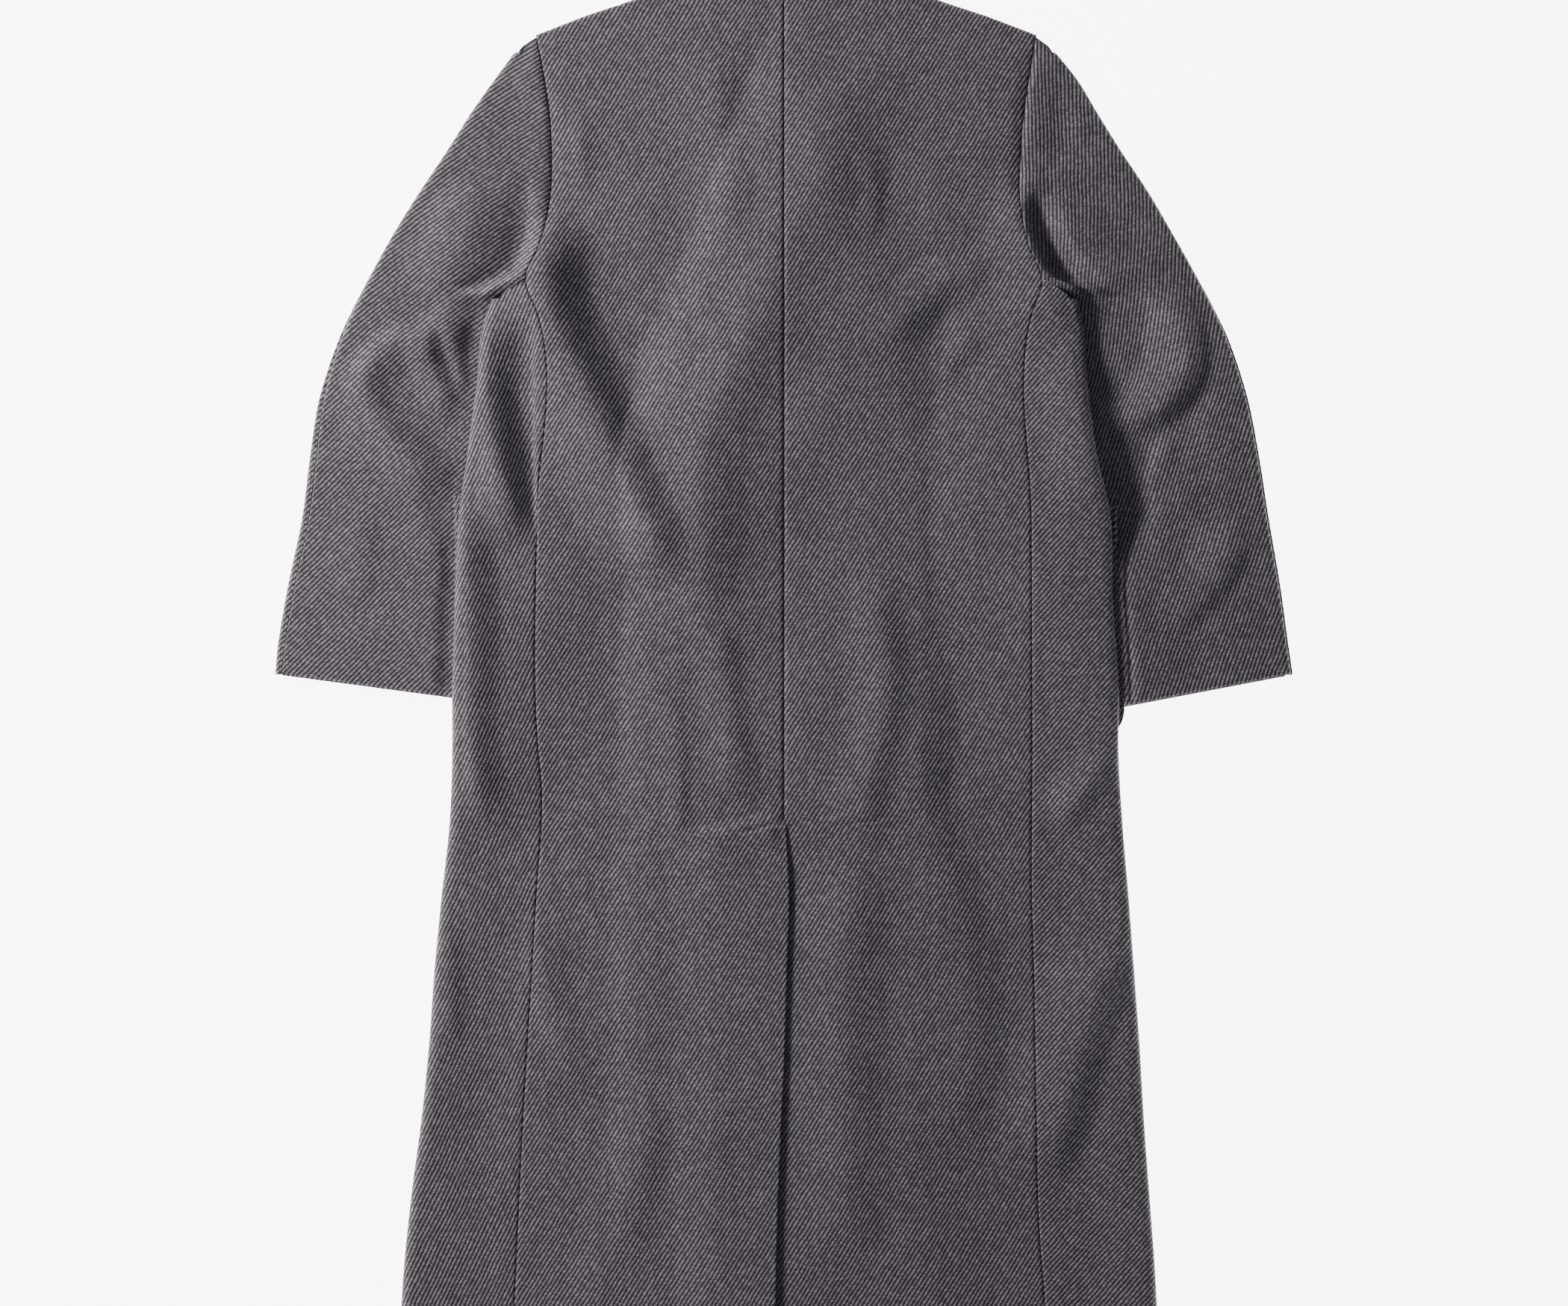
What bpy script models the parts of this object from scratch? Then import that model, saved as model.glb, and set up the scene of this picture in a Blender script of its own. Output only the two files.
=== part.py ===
"""Polo coat of heavy wool twill, laid flat on its front with the back uppermost.

Every length below is in millimetres. "across" runs to the right as the back is seen, and "drop"
runs down the coat from the nape, where the collar is sewn on. "out" is a distance from the centre
towards either side, so one table serves the left and the right piece. The coat rests on z = 0.
"""
import math

import bpy
import numpy as np

# Driving sizes
COAT_LENGTH = 1242.0        # nape to hem
COLLAR_STAND = 50.1         # nape up to the fold of the collar
CLOTH = 2.4                 # wall of the wool shell
LAPEL_CLOTH = 3.0           # the lapel is made double
SEAM = 0.3                  # gap between two pieces that are sewn together
LAYER = 1.0                 # air between cloth and the cloth that it lies on
ROOM = 1.5                  # further air inside the coat, under the back
FRONT_OVERLAP = 85.0        # each front runs this far past the centre
SIDE_TURN = 68.0            # width of the side panel on the front of the coat
SIDE_ROLL = 14.0            # reach of the soft turn at the side edge
SLEEVE_ROLL = 7.5           # reach of the turn at the sleeve's outer edge
SLEEVE_HEAD = 2.4           # the sleeve's head stands this far above the seam of the armhole
SEAM_TURN = 4.0             # degrees of the sleeve's turn left free on each side of its hind seam
HEM_PEEK = 1.4              # the lower layer of a sleeve's hem shows this far past the upper one
STRIP_TOP = 5.3             # the sleeve's inner edge, pressed under the body
VENT_TOP = 766.0            # drop of the top of the centre vent
VENT_UNDERLAP = 48.0        # width of the underlap on the right back
VENT_LIFT = 5.4             # the left back lies this much higher along the vent
BUTTON_RADIUS = 14.0
BUTTON_HEIGHT = 3.8
POCKET_CORNER = 30.0
FLAP_CORNER = 16.0

# How far cloth that lies over another piece stays lifted, and how gently it comes down again
REACH = 34.0
FALL = 110.0
FRONT_FALL = 80.0

MIDDLE = (COAT_LENGTH - COLLAR_STAND) / 2
METRE = 0.001


def table(columns, *rows):
    """Rows of numbers, kept as one array for each named column."""
    return {name: np.array([row[i] for row in rows], float) for i, name in enumerate(columns.split())}


# The side edges of the body where the back turns over to the front
SIDE_EDGE = table(
    "drop left right",
    (290, 266, 267),
    (310, 273, 272),
    (371, 280, 277),
    (439, 289, 286),
    (480, 295, 296),
    (562, 299, 299),
    (655, 302, 305),
    (700, 302, 304.5),
    (766, 305, 308.5),
    (834, 312.5, 314.5),
    (902, 319, 319.5),
    (970, 324, 324.5),
    (1038, 331, 328.5),
    (1106, 340, 333.5),
    (1174, 347, 338.5),
    (1242, 351, 342),
)

# The outer edge of each back panel: the armhole first, then the seam with the side panel
BACK_EDGE = table(
    "drop left right",
    (50, 226, 230),
    (86, 219, 224),
    (120, 214, 219),
    (157, 212, 216),
    (194, 213, 215),
    (242, 223, 223),
    (273, 235, 235),
    (303, 224, 226),
    (494, 225, 225),
    (698, 224, 226),
    (732, 221, 226),
    (834, 226, 226),
    (902, 230, 228),
    (1038, 238, 230),
    (1140, 243, 233),
    (1207, 246, 238),
    (1242, 248, 239),
)

# Neckline and shoulder line of the back, from the centre to the shoulder point
SHOULDER = table(
    "share drop",
    (0.00, 0),
    (0.17, -4),
    (0.345, -21),
    (0.60, 17),
    (0.70, 24),
    (0.80, 31.5),
    (1.00, 49),
)

# The free edge of the vent on the left back
VENT_EDGE = table(
    "drop across",
    (766, 2),
    (834, 5),
    (902, 3),
    (970, 1),
    (1038, -2),
    (1106, -5),
    (1174, -7),
    (1242, -8),
)

# The inner edge of each front: neck, roll line of the lapel, then the straight front edge
FRONT_EDGE = table(
    "drop out",
    (-21, 78),
    (25, 66),
    (430, -FRONT_OVERLAP),
    (COAT_LENGTH, -FRONT_OVERLAP),
)

# Rows of a front above the underarm, from its inner edge to the shoulder and armhole
FRONT_ROWS = table(
    "inner outer",
    (-21, 50),
    (22, 82),
    (72, 120),
    (122, 157),
    (172, 194),
    (232, 242),
)

# One lapel: its roll line and its free edge, from the gorge down to the top button
LAPEL = table(
    "roll_out roll_drop edge_out edge_drop",
    (63, 32, 167, 90),
    (38, 100, 142, 134),
    (10, 175, 101, 192),
    (-18, 250, 52, 254),
    (-46, 325, -5, 324),
    (-72, 395, -58, 396),
    (-82, 423, -78, 426),
)

# Folds of the back and side panels. Each has a crest that is walked from its first point, a gentle
# side of the width "wide" and a steep side of the width "steep", which lies on the walker's left.
BODY_FOLDS = (
    dict(height=13.0, wide=50, steep=42,
         crest=((-206, 196), (-218, 270), (-206, 318), (-190, 352), (-168, 399), (-146, 453), (-106, 560))),
    dict(height=4.8, wide=58, steep=62,
         crest=((57, 50), (50, 140), (22, 200), (-2, 245), (-14, 300), (-42, 350), (-66, 405), (-74, 470),
                (-72, 560), (-58, 640))),
    dict(height=4.0, wide=46, steep=32,
         crest=((-57, 50), (-57, 130), (-56, 190), (-58, 250))),
    dict(height=7.0, wide=18, steep=30,
         crest=((-261, 278), (-265, 340), (-260, 392), (-252, 435), (-240, 482), (-230, 530))),
    dict(height=5.0, wide=22, steep=28,
         crest=((-294, 465), (-287, 540), (-284, 610), (-284, 690), (-270, 775))),
    dict(height=5.0, wide=34, steep=22,
         crest=((202, 246), (150, 274), (116, 302), (82, 338))),
    dict(height=4.4, wide=30, steep=22,
         crest=((-62, 570), (-56, 620), (-46, 690), (-33, 760))),
    dict(height=5.0, wide=36, steep=20,
         crest=((80, 530), (88, 590), (95, 640), (88, 682), (77, 730), (70, 800))),
    dict(height=4.2, wide=50, steep=42,
         crest=((66, 780), (58, 868), (56, 1004), (58, 1180))),
    dict(height=4.2, wide=30, steep=22,
         crest=((306, 700), (280, 728), (244, 776))),
    dict(height=6.0, wide=36, steep=26,
         crest=((312, 868), (284, 926), (267, 980), (256, 1030), (236, 1100))),
    dict(height=3.0, wide=40, steep=32,
         crest=((-121, 1000), (-136, 1092), (-160, 1167), (-180, 1250))),
)

# One row for each station of a sleeve, from the shoulder point to the cuff: where its inner and
# outer edge lie, its height without folds, and how far the hind seam stands above the outer edge
SLEEVE_LEFT = table(
    "in_out in_drop out_out out_drop height seam_angle",
    (227.5, 51, 246.5, 64, 7.4, 10),
    (220, 82, 267, 92, 8.2, 5),
    (214, 120, 286.5, 120, 9.0, 0),
    (212, 157, 308, 154, 9.4, 0),
    (213, 194, 332, 190, 9.4, 0),
    (223, 242, 356, 228, 9.4, 5),
    (235, 273, 376, 264, 9.4, 10),
    (262, 290, 393.5, 298, 9.4, 20),
    (262, 332, 408.5, 332, 9.4, 40),
    (256, 390, 424.5, 382, 9.4, 64),
    (258, 450, 433, 436, 9.4, 78),
    (270, 510, 440, 490, 9.4, 81),
    (284, 575, 453, 552, 9.4, 81),
    (294, 625, 461.5, 602, 9.4, 81),
    (298, 653, 464.5, 630.5, 9.4, 81),
)
SLEEVE_RIGHT = table(
    "in_out in_drop out_out out_drop height seam_angle",
    (231.5, 51, 248.5, 64, 7.4, 10),
    (225, 82, 269, 90, 8.2, 5),
    (219, 120, 287.5, 121, 9.0, 0),
    (216, 157, 308.6, 155, 9.4, 0),
    (215, 194, 332.5, 191, 9.4, 0),
    (223, 242, 355.5, 230, 9.4, 5),
    (235, 273, 374.5, 264, 9.4, 10),
    (258, 290, 392.5, 298, 9.4, 20),
    (256, 332, 408, 332, 9.4, 35),
    (250, 390, 423.8, 382, 9.4, 60),
    (256, 450, 434.2, 436, 9.4, 74),
    (272, 510, 442.6, 490, 9.4, 76),
    (290, 575, 453.2, 552, 9.4, 76),
    (303, 628, 460, 602, 9.4, 76),
    (309, 661, 464.5, 631, 9.4, 76),
)

SLEEVE_LEFT_FOLDS = (
    dict(height=5.0, wide=34, steep=24,
         crest=((-412, 376), (-386, 353), (-364, 335), (-350, 326), (-312, 315), (-262, 303))),
    dict(height=4.0, wide=28, steep=18,
         crest=((-330, 312), (-323, 345), (-311, 372), (-296, 400))),
    dict(height=3.8, wide=40, steep=24,
         crest=((-392, 330), (-378, 380), (-362, 406), (-338, 432), (-286, 462))),
)
SLEEVE_RIGHT_FOLDS = (
    dict(height=5.8, wide=42, steep=22,
         crest=((368, 312), (350, 290), (322, 276), (292, 266), (272, 250), (259, 226), (250, 186))),
    dict(height=9.0, wide=32, steep=26,
         crest=((346, 256), (362, 300), (368, 335), (364, 362), (348, 382), (322, 397), (285, 411), (230, 424))),
    dict(height=-3.6, wide=36, steep=46,
         crest=((292, 395), (304, 450), (310, 520), (318, 590))),
    dict(height=4.2, wide=40, steep=22,
         crest=((412, 470), (404, 530), (384, 560), (336, 594))),
)

# Patch pockets: outer edge at top and bottom, width, and drop of the top and the bottom
POCKETS = table(
    "outer_top outer_bottom width top bottom",
    (299, 302, 190, 473, 671),
    (301, 312, 190, 483, 692),
)
FLAP_DEPTH = 43.0
FLAP_OVERHANG = 2.0

# Buttons in two columns, as out and drop
BUTTON_OUT = 68.0
BUTTON_DROPS = (452.0, 560.0, 668.0)

# The collar, as points along one section from the neck seam over the fold to the free edge. The
# columns give the drop at the centre back, the half width and drop where the collar turns round
# the side of the neck, its end on the front, and its level: 0 for the stand and 1 for the fall.
COLLAR = table(
    "centre_drop turn_out turn_drop end_out end_drop level",
    (-5, 77, -25, 64, 22, 0),
    (-25, 79, -36, 63, 22, 0),
    (-47, 82, -47, 62, 21, 0),
    (-47, 86, -47, 66, 22, 1),
    (-16, 104, -22, 113, 50, 1),
    (13, 119, 2, 149, 33, 1),
)
COLLAR_CLOTH = 2.6
COLLAR_STEP = 3.6           # from the middle of the stand's wall to the middle of the fall's
NECK_HALF_HEIGHT = 3.4      # of the flattened tube that the stand makes

UNDERARM = 273.0
BODY_DROPS = tuple(np.linspace(UNDERARM, 790, 14)) + tuple(np.linspace(840, COAT_LENGTH, 9))
ARMHOLE_DROPS = (50.0, 82.0, 120.0, 157.0, 194.0, 242.0)
FRONT_COLUMNS = (0.0, 0.1, 0.2, 0.3, 0.4, 0.51, 0.64, 0.8, 1.0)
BACK_COLUMNS = (0.0, 0.085, 0.17, 0.255, 0.345, 0.425, 0.505, 0.585, 0.665, 0.745, 0.825, 0.91, 1.0)


def ease(t):
    """A soft step from 0 to 1."""
    t = np.clip(t, 0.0, 1.0)
    return t * t * (3 - 2 * t)


def read(rows, column, value, key="drop"):
    return np.interp(value, rows[key], rows[column])


def name_of(side):
    return "left" if side < 0 else "right"


def outside(outline, out, drop):
    """Distance of points from an outline, and 0 for those within it."""
    corners = np.array(outline, float)
    ends = np.roll(corners, -1, axis=0)
    nearest = np.full(np.shape(out), np.inf)
    within = np.zeros(np.shape(out), bool)
    for (ax, ad), (bx, bd) in zip(corners, ends):
        length = max((bx - ax) ** 2 + (bd - ad) ** 2, 1e-9)
        t = np.clip(((out - ax) * (bx - ax) + (drop - ad) * (bd - ad)) / length, 0, 1)
        nearest = np.minimum(nearest, np.hypot(out - ax - t * (bx - ax), drop - ad - t * (bd - ad)))
        if ad != bd:
            crosses = (ad > drop) != (bd > drop)
            within ^= crosses & (out < ax + (bx - ax) * (drop - ad) / (bd - ad))
    return np.where(within, 0.0, nearest)


def cover(distance, reach=REACH, fall=FALL):
    """1 over a piece that lies underneath and a little beyond it, then softly down to 0."""
    return ease(1 - (distance - reach) / fall)


def fold_height(folds, across, drop):
    """Height that a set of folds adds at each point."""
    total = np.zeros(np.shape(across))
    for fold in folds:
        crest = np.array(fold["crest"], float)
        steps = np.diff(crest, axis=0)
        lengths = np.hypot(steps[:, 0], steps[:, 1])
        whole = lengths.sum()
        best = np.full(np.shape(across), np.inf)
        aside = np.zeros(np.shape(across))
        along = np.zeros(np.shape(across))
        start = 0.0
        for (px, pd), (sx, sd), length in zip(crest, steps, lengths):
            t = ((across - px) * sx + (drop - pd) * sd) / length ** 2
            t_in = np.clip(t, 0, 1)
            gap = np.hypot(across - px - t_in * sx, drop - pd - t_in * sd)
            turn = (across - px) * sd - (drop - pd) * sx
            nearer = gap < best
            best = np.where(nearer, gap, best)
            aside = np.where(nearer, np.sign(turn), aside)
            along = np.where(nearer, start + t_in * length, along)
            start += length
        width = np.where(aside > 0, fold["steep"], fold["wide"])
        reach = min(0.3 * whole, 60)
        fade = ease(along / reach) * ease((whole - along) / reach)
        total += fold["height"] * ease(1 - best / width) * fade
    return total


# Outlines of what lies under other pieces, in "out" and drop

def lapel_outline():
    roll = list(zip(LAPEL["roll_out"], LAPEL["roll_drop"]))
    edge = list(zip(LAPEL["edge_out"], LAPEL["edge_drop"]))
    return roll + edge[::-1]


def collar_outline():
    ends = list(zip(COLLAR["end_out"], COLLAR["end_drop"]))
    return [(COLLAR["turn_out"][3], COLLAR["turn_drop"][3]), ends[3], ends[4], ends[5],
            (COLLAR["turn_out"][5], COLLAR["turn_drop"][5])]


def strip_outline(side):
    """The inner strip of a sleeve, where the body lies on it."""
    sleeve = SLEEVE_LEFT if side < 0 else SLEEVE_RIGHT
    hidden = [(o, d) for o, d in zip(sleeve["in_out"], sleeve["in_drop"]) if d > 285]
    edge = [(read(SIDE_EDGE, name_of(side), d) + SIDE_ROLL, d) for o, d in hidden]
    return hidden + edge[::-1]


def pocket_sizes(side):
    row = 0 if side < 0 else 1
    return {name: values[row] for name, values in POCKETS.items()}


def pocket_outline(side):
    p = pocket_sizes(side)
    return [(p["outer_top"], p["top"]), (p["outer_bottom"], p["bottom"]),
            (p["outer_bottom"] - p["width"], p["bottom"]), (p["outer_top"] - p["width"], p["top"])]


def flap_outline(side):
    p = pocket_sizes(side)
    outer = p["outer_top"] + FLAP_OVERHANG
    inner = p["outer_top"] - p["width"] - FLAP_OVERHANG
    return [(outer, p["top"] - 4), (outer, p["top"] + FLAP_DEPTH),
            (inner, p["top"] + FLAP_DEPTH), (inner, p["top"] - 4)]


# Heights of each layer, counted up from the surface the coat lies on

def sleeve_under(side, across, drop):
    """Underside of whatever lies on a sleeve's inner strip."""
    distance = outside(strip_outline(side), side * across, drop)
    return cover(distance) * (STRIP_TOP + LAYER)


def flap_under(side, across, drop):
    return sleeve_under(side, across, drop)


def pocket_under(side, across, drop):
    distance = outside(flap_outline(side), side * across, drop)
    return flap_under(side, across, drop) + cover(distance) * (CLOTH + LAYER)


def side_under(side, across, drop):
    distance = outside(pocket_outline(side), side * across, drop)
    return pocket_under(side, across, drop) + cover(distance) * (CLOTH + LAYER)


def front_cover(side, across, drop):
    """1 over one front and a little beyond its free edge."""
    return cover(read(FRONT_EDGE, "out", drop) - side * across, fall=FRONT_FALL)


def button_lift(across, drop):
    lift = np.zeros(np.shape(across))
    for side in (-1, 1):
        for height in BUTTON_DROPS:
            distance = np.hypot(across - side * BUTTON_OUT, drop - height) - BUTTON_RADIUS
            lift = np.maximum(lift, cover(distance))
    return lift * (BUTTON_HEIGHT + LAYER)


def collar_lift(side, across, drop):
    return cover(outside(collar_outline(), side * across, drop)) * (COLLAR_CLOTH + LAYER)


def lapel_cover(side, across, drop):
    """The left lapel lies flat, so its front rests close on it; the right one lies on a slope."""
    clear = SEAM + 0.1 if side < 0 else 1.5 * LAYER
    return cover(outside(lapel_outline(), side * across, drop)) * (LAPEL_CLOTH + clear)


def left_front_under(across, drop):
    lift = np.maximum(lapel_cover(-1, across, drop), collar_lift(-1, across, drop))
    lift = np.maximum(lift, button_lift(across, drop))
    return np.maximum(lift, side_under(-1, across, drop))


def right_lapel_under(across, drop):
    """The right front is worn inside, so its lapel lies on the left front where the two cross."""
    return front_cover(-1, across, drop) * (left_front_under(across, drop) + CLOTH + LAYER)


def right_front_under(across, drop):
    lift = right_lapel_under(across, drop) + lapel_cover(1, across, drop)
    lift = np.maximum(lift, collar_lift(1, across, drop))
    return np.maximum(lift, side_under(1, across, drop))


def front_under(side, across, drop):
    return left_front_under(across, drop) if side < 0 else right_front_under(across, drop)


def side_reach(across, drop):
    """Distance inwards from the nearer side edge."""
    edge = np.where(across < 0, read(SIDE_EDGE, "left", drop), read(SIDE_EDGE, "right", drop))
    return np.maximum(edge - np.abs(across), 0)


def back_top(across, drop):
    """The outer face of the back and side panels."""
    left = front_cover(-1, across, drop) * (left_front_under(across, drop) + CLOTH + LAYER)
    right = front_cover(1, across, drop) * (right_front_under(across, drop) + CLOTH + LAYER)
    below = np.maximum(left, right)
    on_strip = np.maximum(sleeve_under(-1, across, drop), sleeve_under(1, across, drop))
    edge_roll = (3.4 - 1.6 * on_strip / (STRIP_TOP + LAYER)) * ease(1 - side_reach(across, drop) / 70)
    edge_roll = edge_roll * ease((drop - 230) / 60)
    shoulder = read(SHOULDER, "drop", np.abs(across) / 228.0, key="share")
    beside_seam = ease(1 - (drop - shoulder) / 60) * ease((np.abs(across) - 60) / 40)
    folds = fold_height(BODY_FOLDS, across, drop)
    lying = below + ROOM + CLOTH + edge_roll - 0.8 * beside_seam + folds
    at_neck = ease(1 - np.hypot(across, drop + 10) / 140)
    stand_middle = COLLAR_CLOTH / 2 + COLLAR_STEP + 2 * NECK_HALF_HEIGHT
    return lying + (stand_middle + CLOTH / 2 - lying) * at_neck


# Solids

def world(across, drop, height):
    return (across * METRE, (MIDDLE - drop) * METRE, height * METRE)


def material(name, colour, roughness, metallic=0.0):
    made = bpy.data.materials.new(name)
    made.use_nodes = True
    shader = made.node_tree.nodes["Principled BSDF"]
    shader.inputs["Base Color"].default_value = (*colour, 1)
    shader.inputs["Roughness"].default_value = roughness
    shader.inputs["Metallic"].default_value = metallic
    return made


def add_object(name, mesh, colour):
    mesh.materials.append(material(name, *colour))
    piece = bpy.data.objects.new(name, mesh)
    coat.objects.link(piece)
    return piece


def wall(name, outer, inner, colour):
    """A closed wall lofted between an outer and an inner face, each a grid of rows of points."""
    rows, columns = outer.shape[:2]
    points = [world(*p) for p in outer.reshape(-1, 3)] + [world(*p) for p in inner.reshape(-1, 3)]
    back = rows * columns
    faces = []
    for r in range(rows - 1):
        for c in range(columns - 1):
            a = r * columns + c
            ring = (a, a + columns, a + columns + 1, a + 1)
            faces.append(ring)
            faces.append(tuple(back + i for i in reversed(ring)))
    rim = [c for c in range(columns)]
    rim += [r * columns + columns - 1 for r in range(1, rows)]
    rim += [(rows - 1) * columns + c for c in range(columns - 2, -1, -1)]
    rim += [r * columns for r in range(rows - 2, 0, -1)]
    for a, b in zip(rim, rim[1:] + rim[:1]):
        faces.append((a, b, back + b, back + a))
    mesh = bpy.data.meshes.new(name)
    mesh.from_pydata(points, [], faces)
    if enclosed_volume(mesh) < 0:
        mesh.flip_normals()
    mesh.shade_smooth()
    mesh.set_sharp_from_angle(angle=math.radians(50))
    return add_object(name, mesh, colour)


def enclosed_volume(mesh):
    mesh.calc_loop_triangles()
    total = 0.0
    for triangle in mesh.loop_triangles:
        a, b, c = (mesh.vertices[i].co for i in triangle.vertices)
        total += a.dot(b.cross(c)) / 6
    return total


def slope_factor(surface, across, drop):
    """How much taller a slanting wall stands than it is thick."""
    step = 6.0
    rise_across = (surface(across + step, drop) - surface(across - step, drop)) / (2 * step)
    rise_drop = (surface(across, drop + step) - surface(across, drop - step)) / (2 * step)
    return np.minimum(np.sqrt(1 + rise_across ** 2 + rise_drop ** 2), 1.25)


def sheet_from_top(name, across, drop, surface, colour, lift=None):
    top = surface(across, drop)
    under = top - CLOTH * slope_factor(surface, across, drop)
    if lift is not None:
        top = top + lift
        under = under + lift
    return wall(name, np.dstack([across, drop, top]), np.dstack([across, drop, under]), colour)


def sheet_from_under(name, across, drop, under, thickness, colour):
    low = under(across, drop)
    return wall(name, np.dstack([across, drop, low + thickness]), np.dstack([across, drop, low]), colour)


def back_grid(side):
    """Rows of points for one back panel: the upper ones follow the neckline and the shoulder."""
    shares = np.array(BACK_COLUMNS)
    edge_column = name_of(side)
    rows = []
    top = read(SHOULDER, "drop", shares, key="share")
    for edge_drop in ARMHOLE_DROPS:
        down = (edge_drop - ARMHOLE_DROPS[0]) / (UNDERARM - ARMHOLE_DROPS[0])
        edge = read(BACK_EDGE, edge_column, edge_drop) - SEAM / 2
        drops = top + (UNDERARM - top) * down
        rows.append((SEAM / 2 + (edge - SEAM / 2) * shares, drops))
    for level in BODY_DROPS:
        edge = read(BACK_EDGE, edge_column, level) - SEAM / 2
        inner = SEAM / 2
        if level > VENT_TOP:
            inner = -read(VENT_EDGE, "across", level) if side < 0 else -VENT_UNDERLAP
        rows.append((inner + (edge - inner) * shares, np.full(len(shares), level)))
    return rows


def back_left():
    rows = back_grid(-1)
    across = -np.array([row[0] for row in rows])
    drop = np.array([row[1] for row in rows])
    beside_vent = ease((across + 150) / 90) * ease((drop - (VENT_TOP - 40)) / 34)
    sheet_from_top("back_left", across, drop, back_top, WOOL, VENT_LIFT * beside_vent)


def back_right():
    rows = back_grid(1)
    shares = np.array(BACK_COLUMNS)
    first_open = next(i for i, row in enumerate(rows) if row[1][-1] > VENT_TOP)
    edge = read(BACK_EDGE, "right", VENT_TOP) - SEAM / 2
    closed = (SEAM / 2 + (edge - SEAM / 2) * shares, np.full(len(shares), VENT_TOP - 1.0))
    inner = -VENT_UNDERLAP
    opened_across = inner + (edge - inner) * shares
    slant = 0.2 * np.maximum(-opened_across, 0)
    opened = (opened_across, VENT_TOP + 2.0 + slant)
    rows[first_open:first_open] = [closed, opened]
    across = np.array([row[0] for row in rows])
    drop = np.array([row[1] for row in rows])
    sheet_from_top("back_right", across, drop, back_top, WOOL)


def turned_section(start, turn, end, tops, unders, roll, angles, thickness):
    """Outer and inner points of cloth that runs out, turns round an edge and comes back below.

    start and end are lists of (out, top or under); the turn is half of an ellipse.
    """
    outer = [(o, z) for o, z in zip(start, tops)]
    inner = [(o, z - thickness) for o, z in zip(start, tops)]
    half = (tops[-1] - unders[0]) / 2
    middle = unders[0] + half
    for angle in angles:
        c = math.cos(math.radians(angle))
        s = math.sin(math.radians(angle))
        outer.append((turn - roll + roll * c, middle + half * s))
        inner.append((turn - roll + (roll - thickness) * c, middle + (half - thickness) * s))
    outer += [(o, z) for o, z in zip(end, unders)]
    inner += [(o, z + thickness) for o, z in zip(end, unders)]
    return outer, inner


def side_panel(side):
    """The panel under the arm: its upper leg shows beside the back, its lower leg lies in front."""
    angles = (68, 45, 22, 0, -25, -55)
    upper_shares = np.array((0.0, 0.22, 0.44, 0.64, 0.82, 1.0))
    lower_shares = np.array((0.0, 0.45, 1.0))
    outer_rows = []
    inner_rows = []
    edge_column = name_of(side)
    for i, level in enumerate(BODY_DROPS):
        scoop = 17.0 * (1 - min(i / 2.0, 1.0))
        seam = read(BACK_EDGE, edge_column, level) + SEAM / 2
        turn = read(SIDE_EDGE, edge_column, level + scoop)
        front_seam = turn - SIDE_TURN
        upper = seam + (turn - SIDE_ROLL - seam) * upper_shares
        lower = turn - SIDE_ROLL + (front_seam + SIDE_ROLL - turn) * lower_shares
        upper_drop = level + scoop * ease((upper - seam) / (turn - seam))
        lower_drop = level + scoop * ease((lower - front_seam) / (turn - front_seam))
        tops = back_top(side * upper, upper_drop)
        unders = side_under(side, side * lower, lower_drop)
        outer, inner = turned_section(upper, turn, lower, tops, unders, SIDE_ROLL, angles, CLOTH)
        drops = np.concatenate([upper_drop, np.full(len(angles), level + scoop), lower_drop])
        outer_rows.append([(side * o, d, z) for (o, z), d in zip(outer, drops)])
        inner_rows.append([(side * o, d, z) for (o, z), d in zip(inner, drops)])
    wall("side_" + name_of(side), np.array(outer_rows), np.array(inner_rows), WOOL)


def front_panel(side):
    shares = np.array(FRONT_COLUMNS)
    edge_column = name_of(side)
    rows = []
    for i, (inner_drop, outer_drop) in enumerate(zip(FRONT_ROWS["inner"], FRONT_ROWS["outer"])):
        inner = read(FRONT_EDGE, "out", inner_drop) + SEAM
        outer = read(BACK_EDGE, edge_column, outer_drop) - SEAM / 2
        out = inner + (outer - inner) * shares
        drop = inner_drop + (outer_drop - inner_drop) * shares
        if i == 0:
            drop = read(SHOULDER, "drop", out / outer, key="share")
        rows.append((out, drop))
    for i, level in enumerate(BODY_DROPS):
        scoop = 17.0 * (1 - min(i / 2.0, 1.0))
        inner = read(FRONT_EDGE, "out", level)
        outer = read(SIDE_EDGE, edge_column, level + scoop) - SIDE_TURN - SEAM
        rows.append((inner + (outer - inner) * shares, np.full(len(shares), level)))
    across = side * np.array([row[0] for row in rows])
    drop = np.array([row[1] for row in rows])
    sheet_from_under("front_" + name_of(side), across, drop,
                     lambda x, d: front_under(side, x, d), CLOTH, WOOL)


def lapel(side):
    count = len(LAPEL["roll_out"])
    places = np.linspace(0, count - 1, 2 * count - 1)
    columns = {name: np.interp(places, np.arange(count), values)[:, None] for name, values in LAPEL.items()}
    shares = np.linspace(0, 1, 6)[None, :]
    out = columns["roll_out"] + (columns["edge_out"] - columns["roll_out"]) * shares
    drop = columns["roll_drop"] + (columns["edge_drop"] - columns["roll_drop"]) * shares

    def under(across, drops):
        return right_lapel_under(across, drops) if side > 0 else np.zeros(np.shape(across))

    sheet_from_under("lapel_" + name_of(side), side * out, drop, under, LAPEL_CLOTH, WOOL)


def rounded_rows(top, bottom, corner, count):
    """Drops from top to bottom, close together where the two lower corners are rounded."""
    straight = list(np.linspace(top, bottom - corner, count))
    turned = [bottom - corner + corner * math.sin(math.radians(a)) for a in (22, 45, 68, 90)]
    return straight + turned


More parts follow.
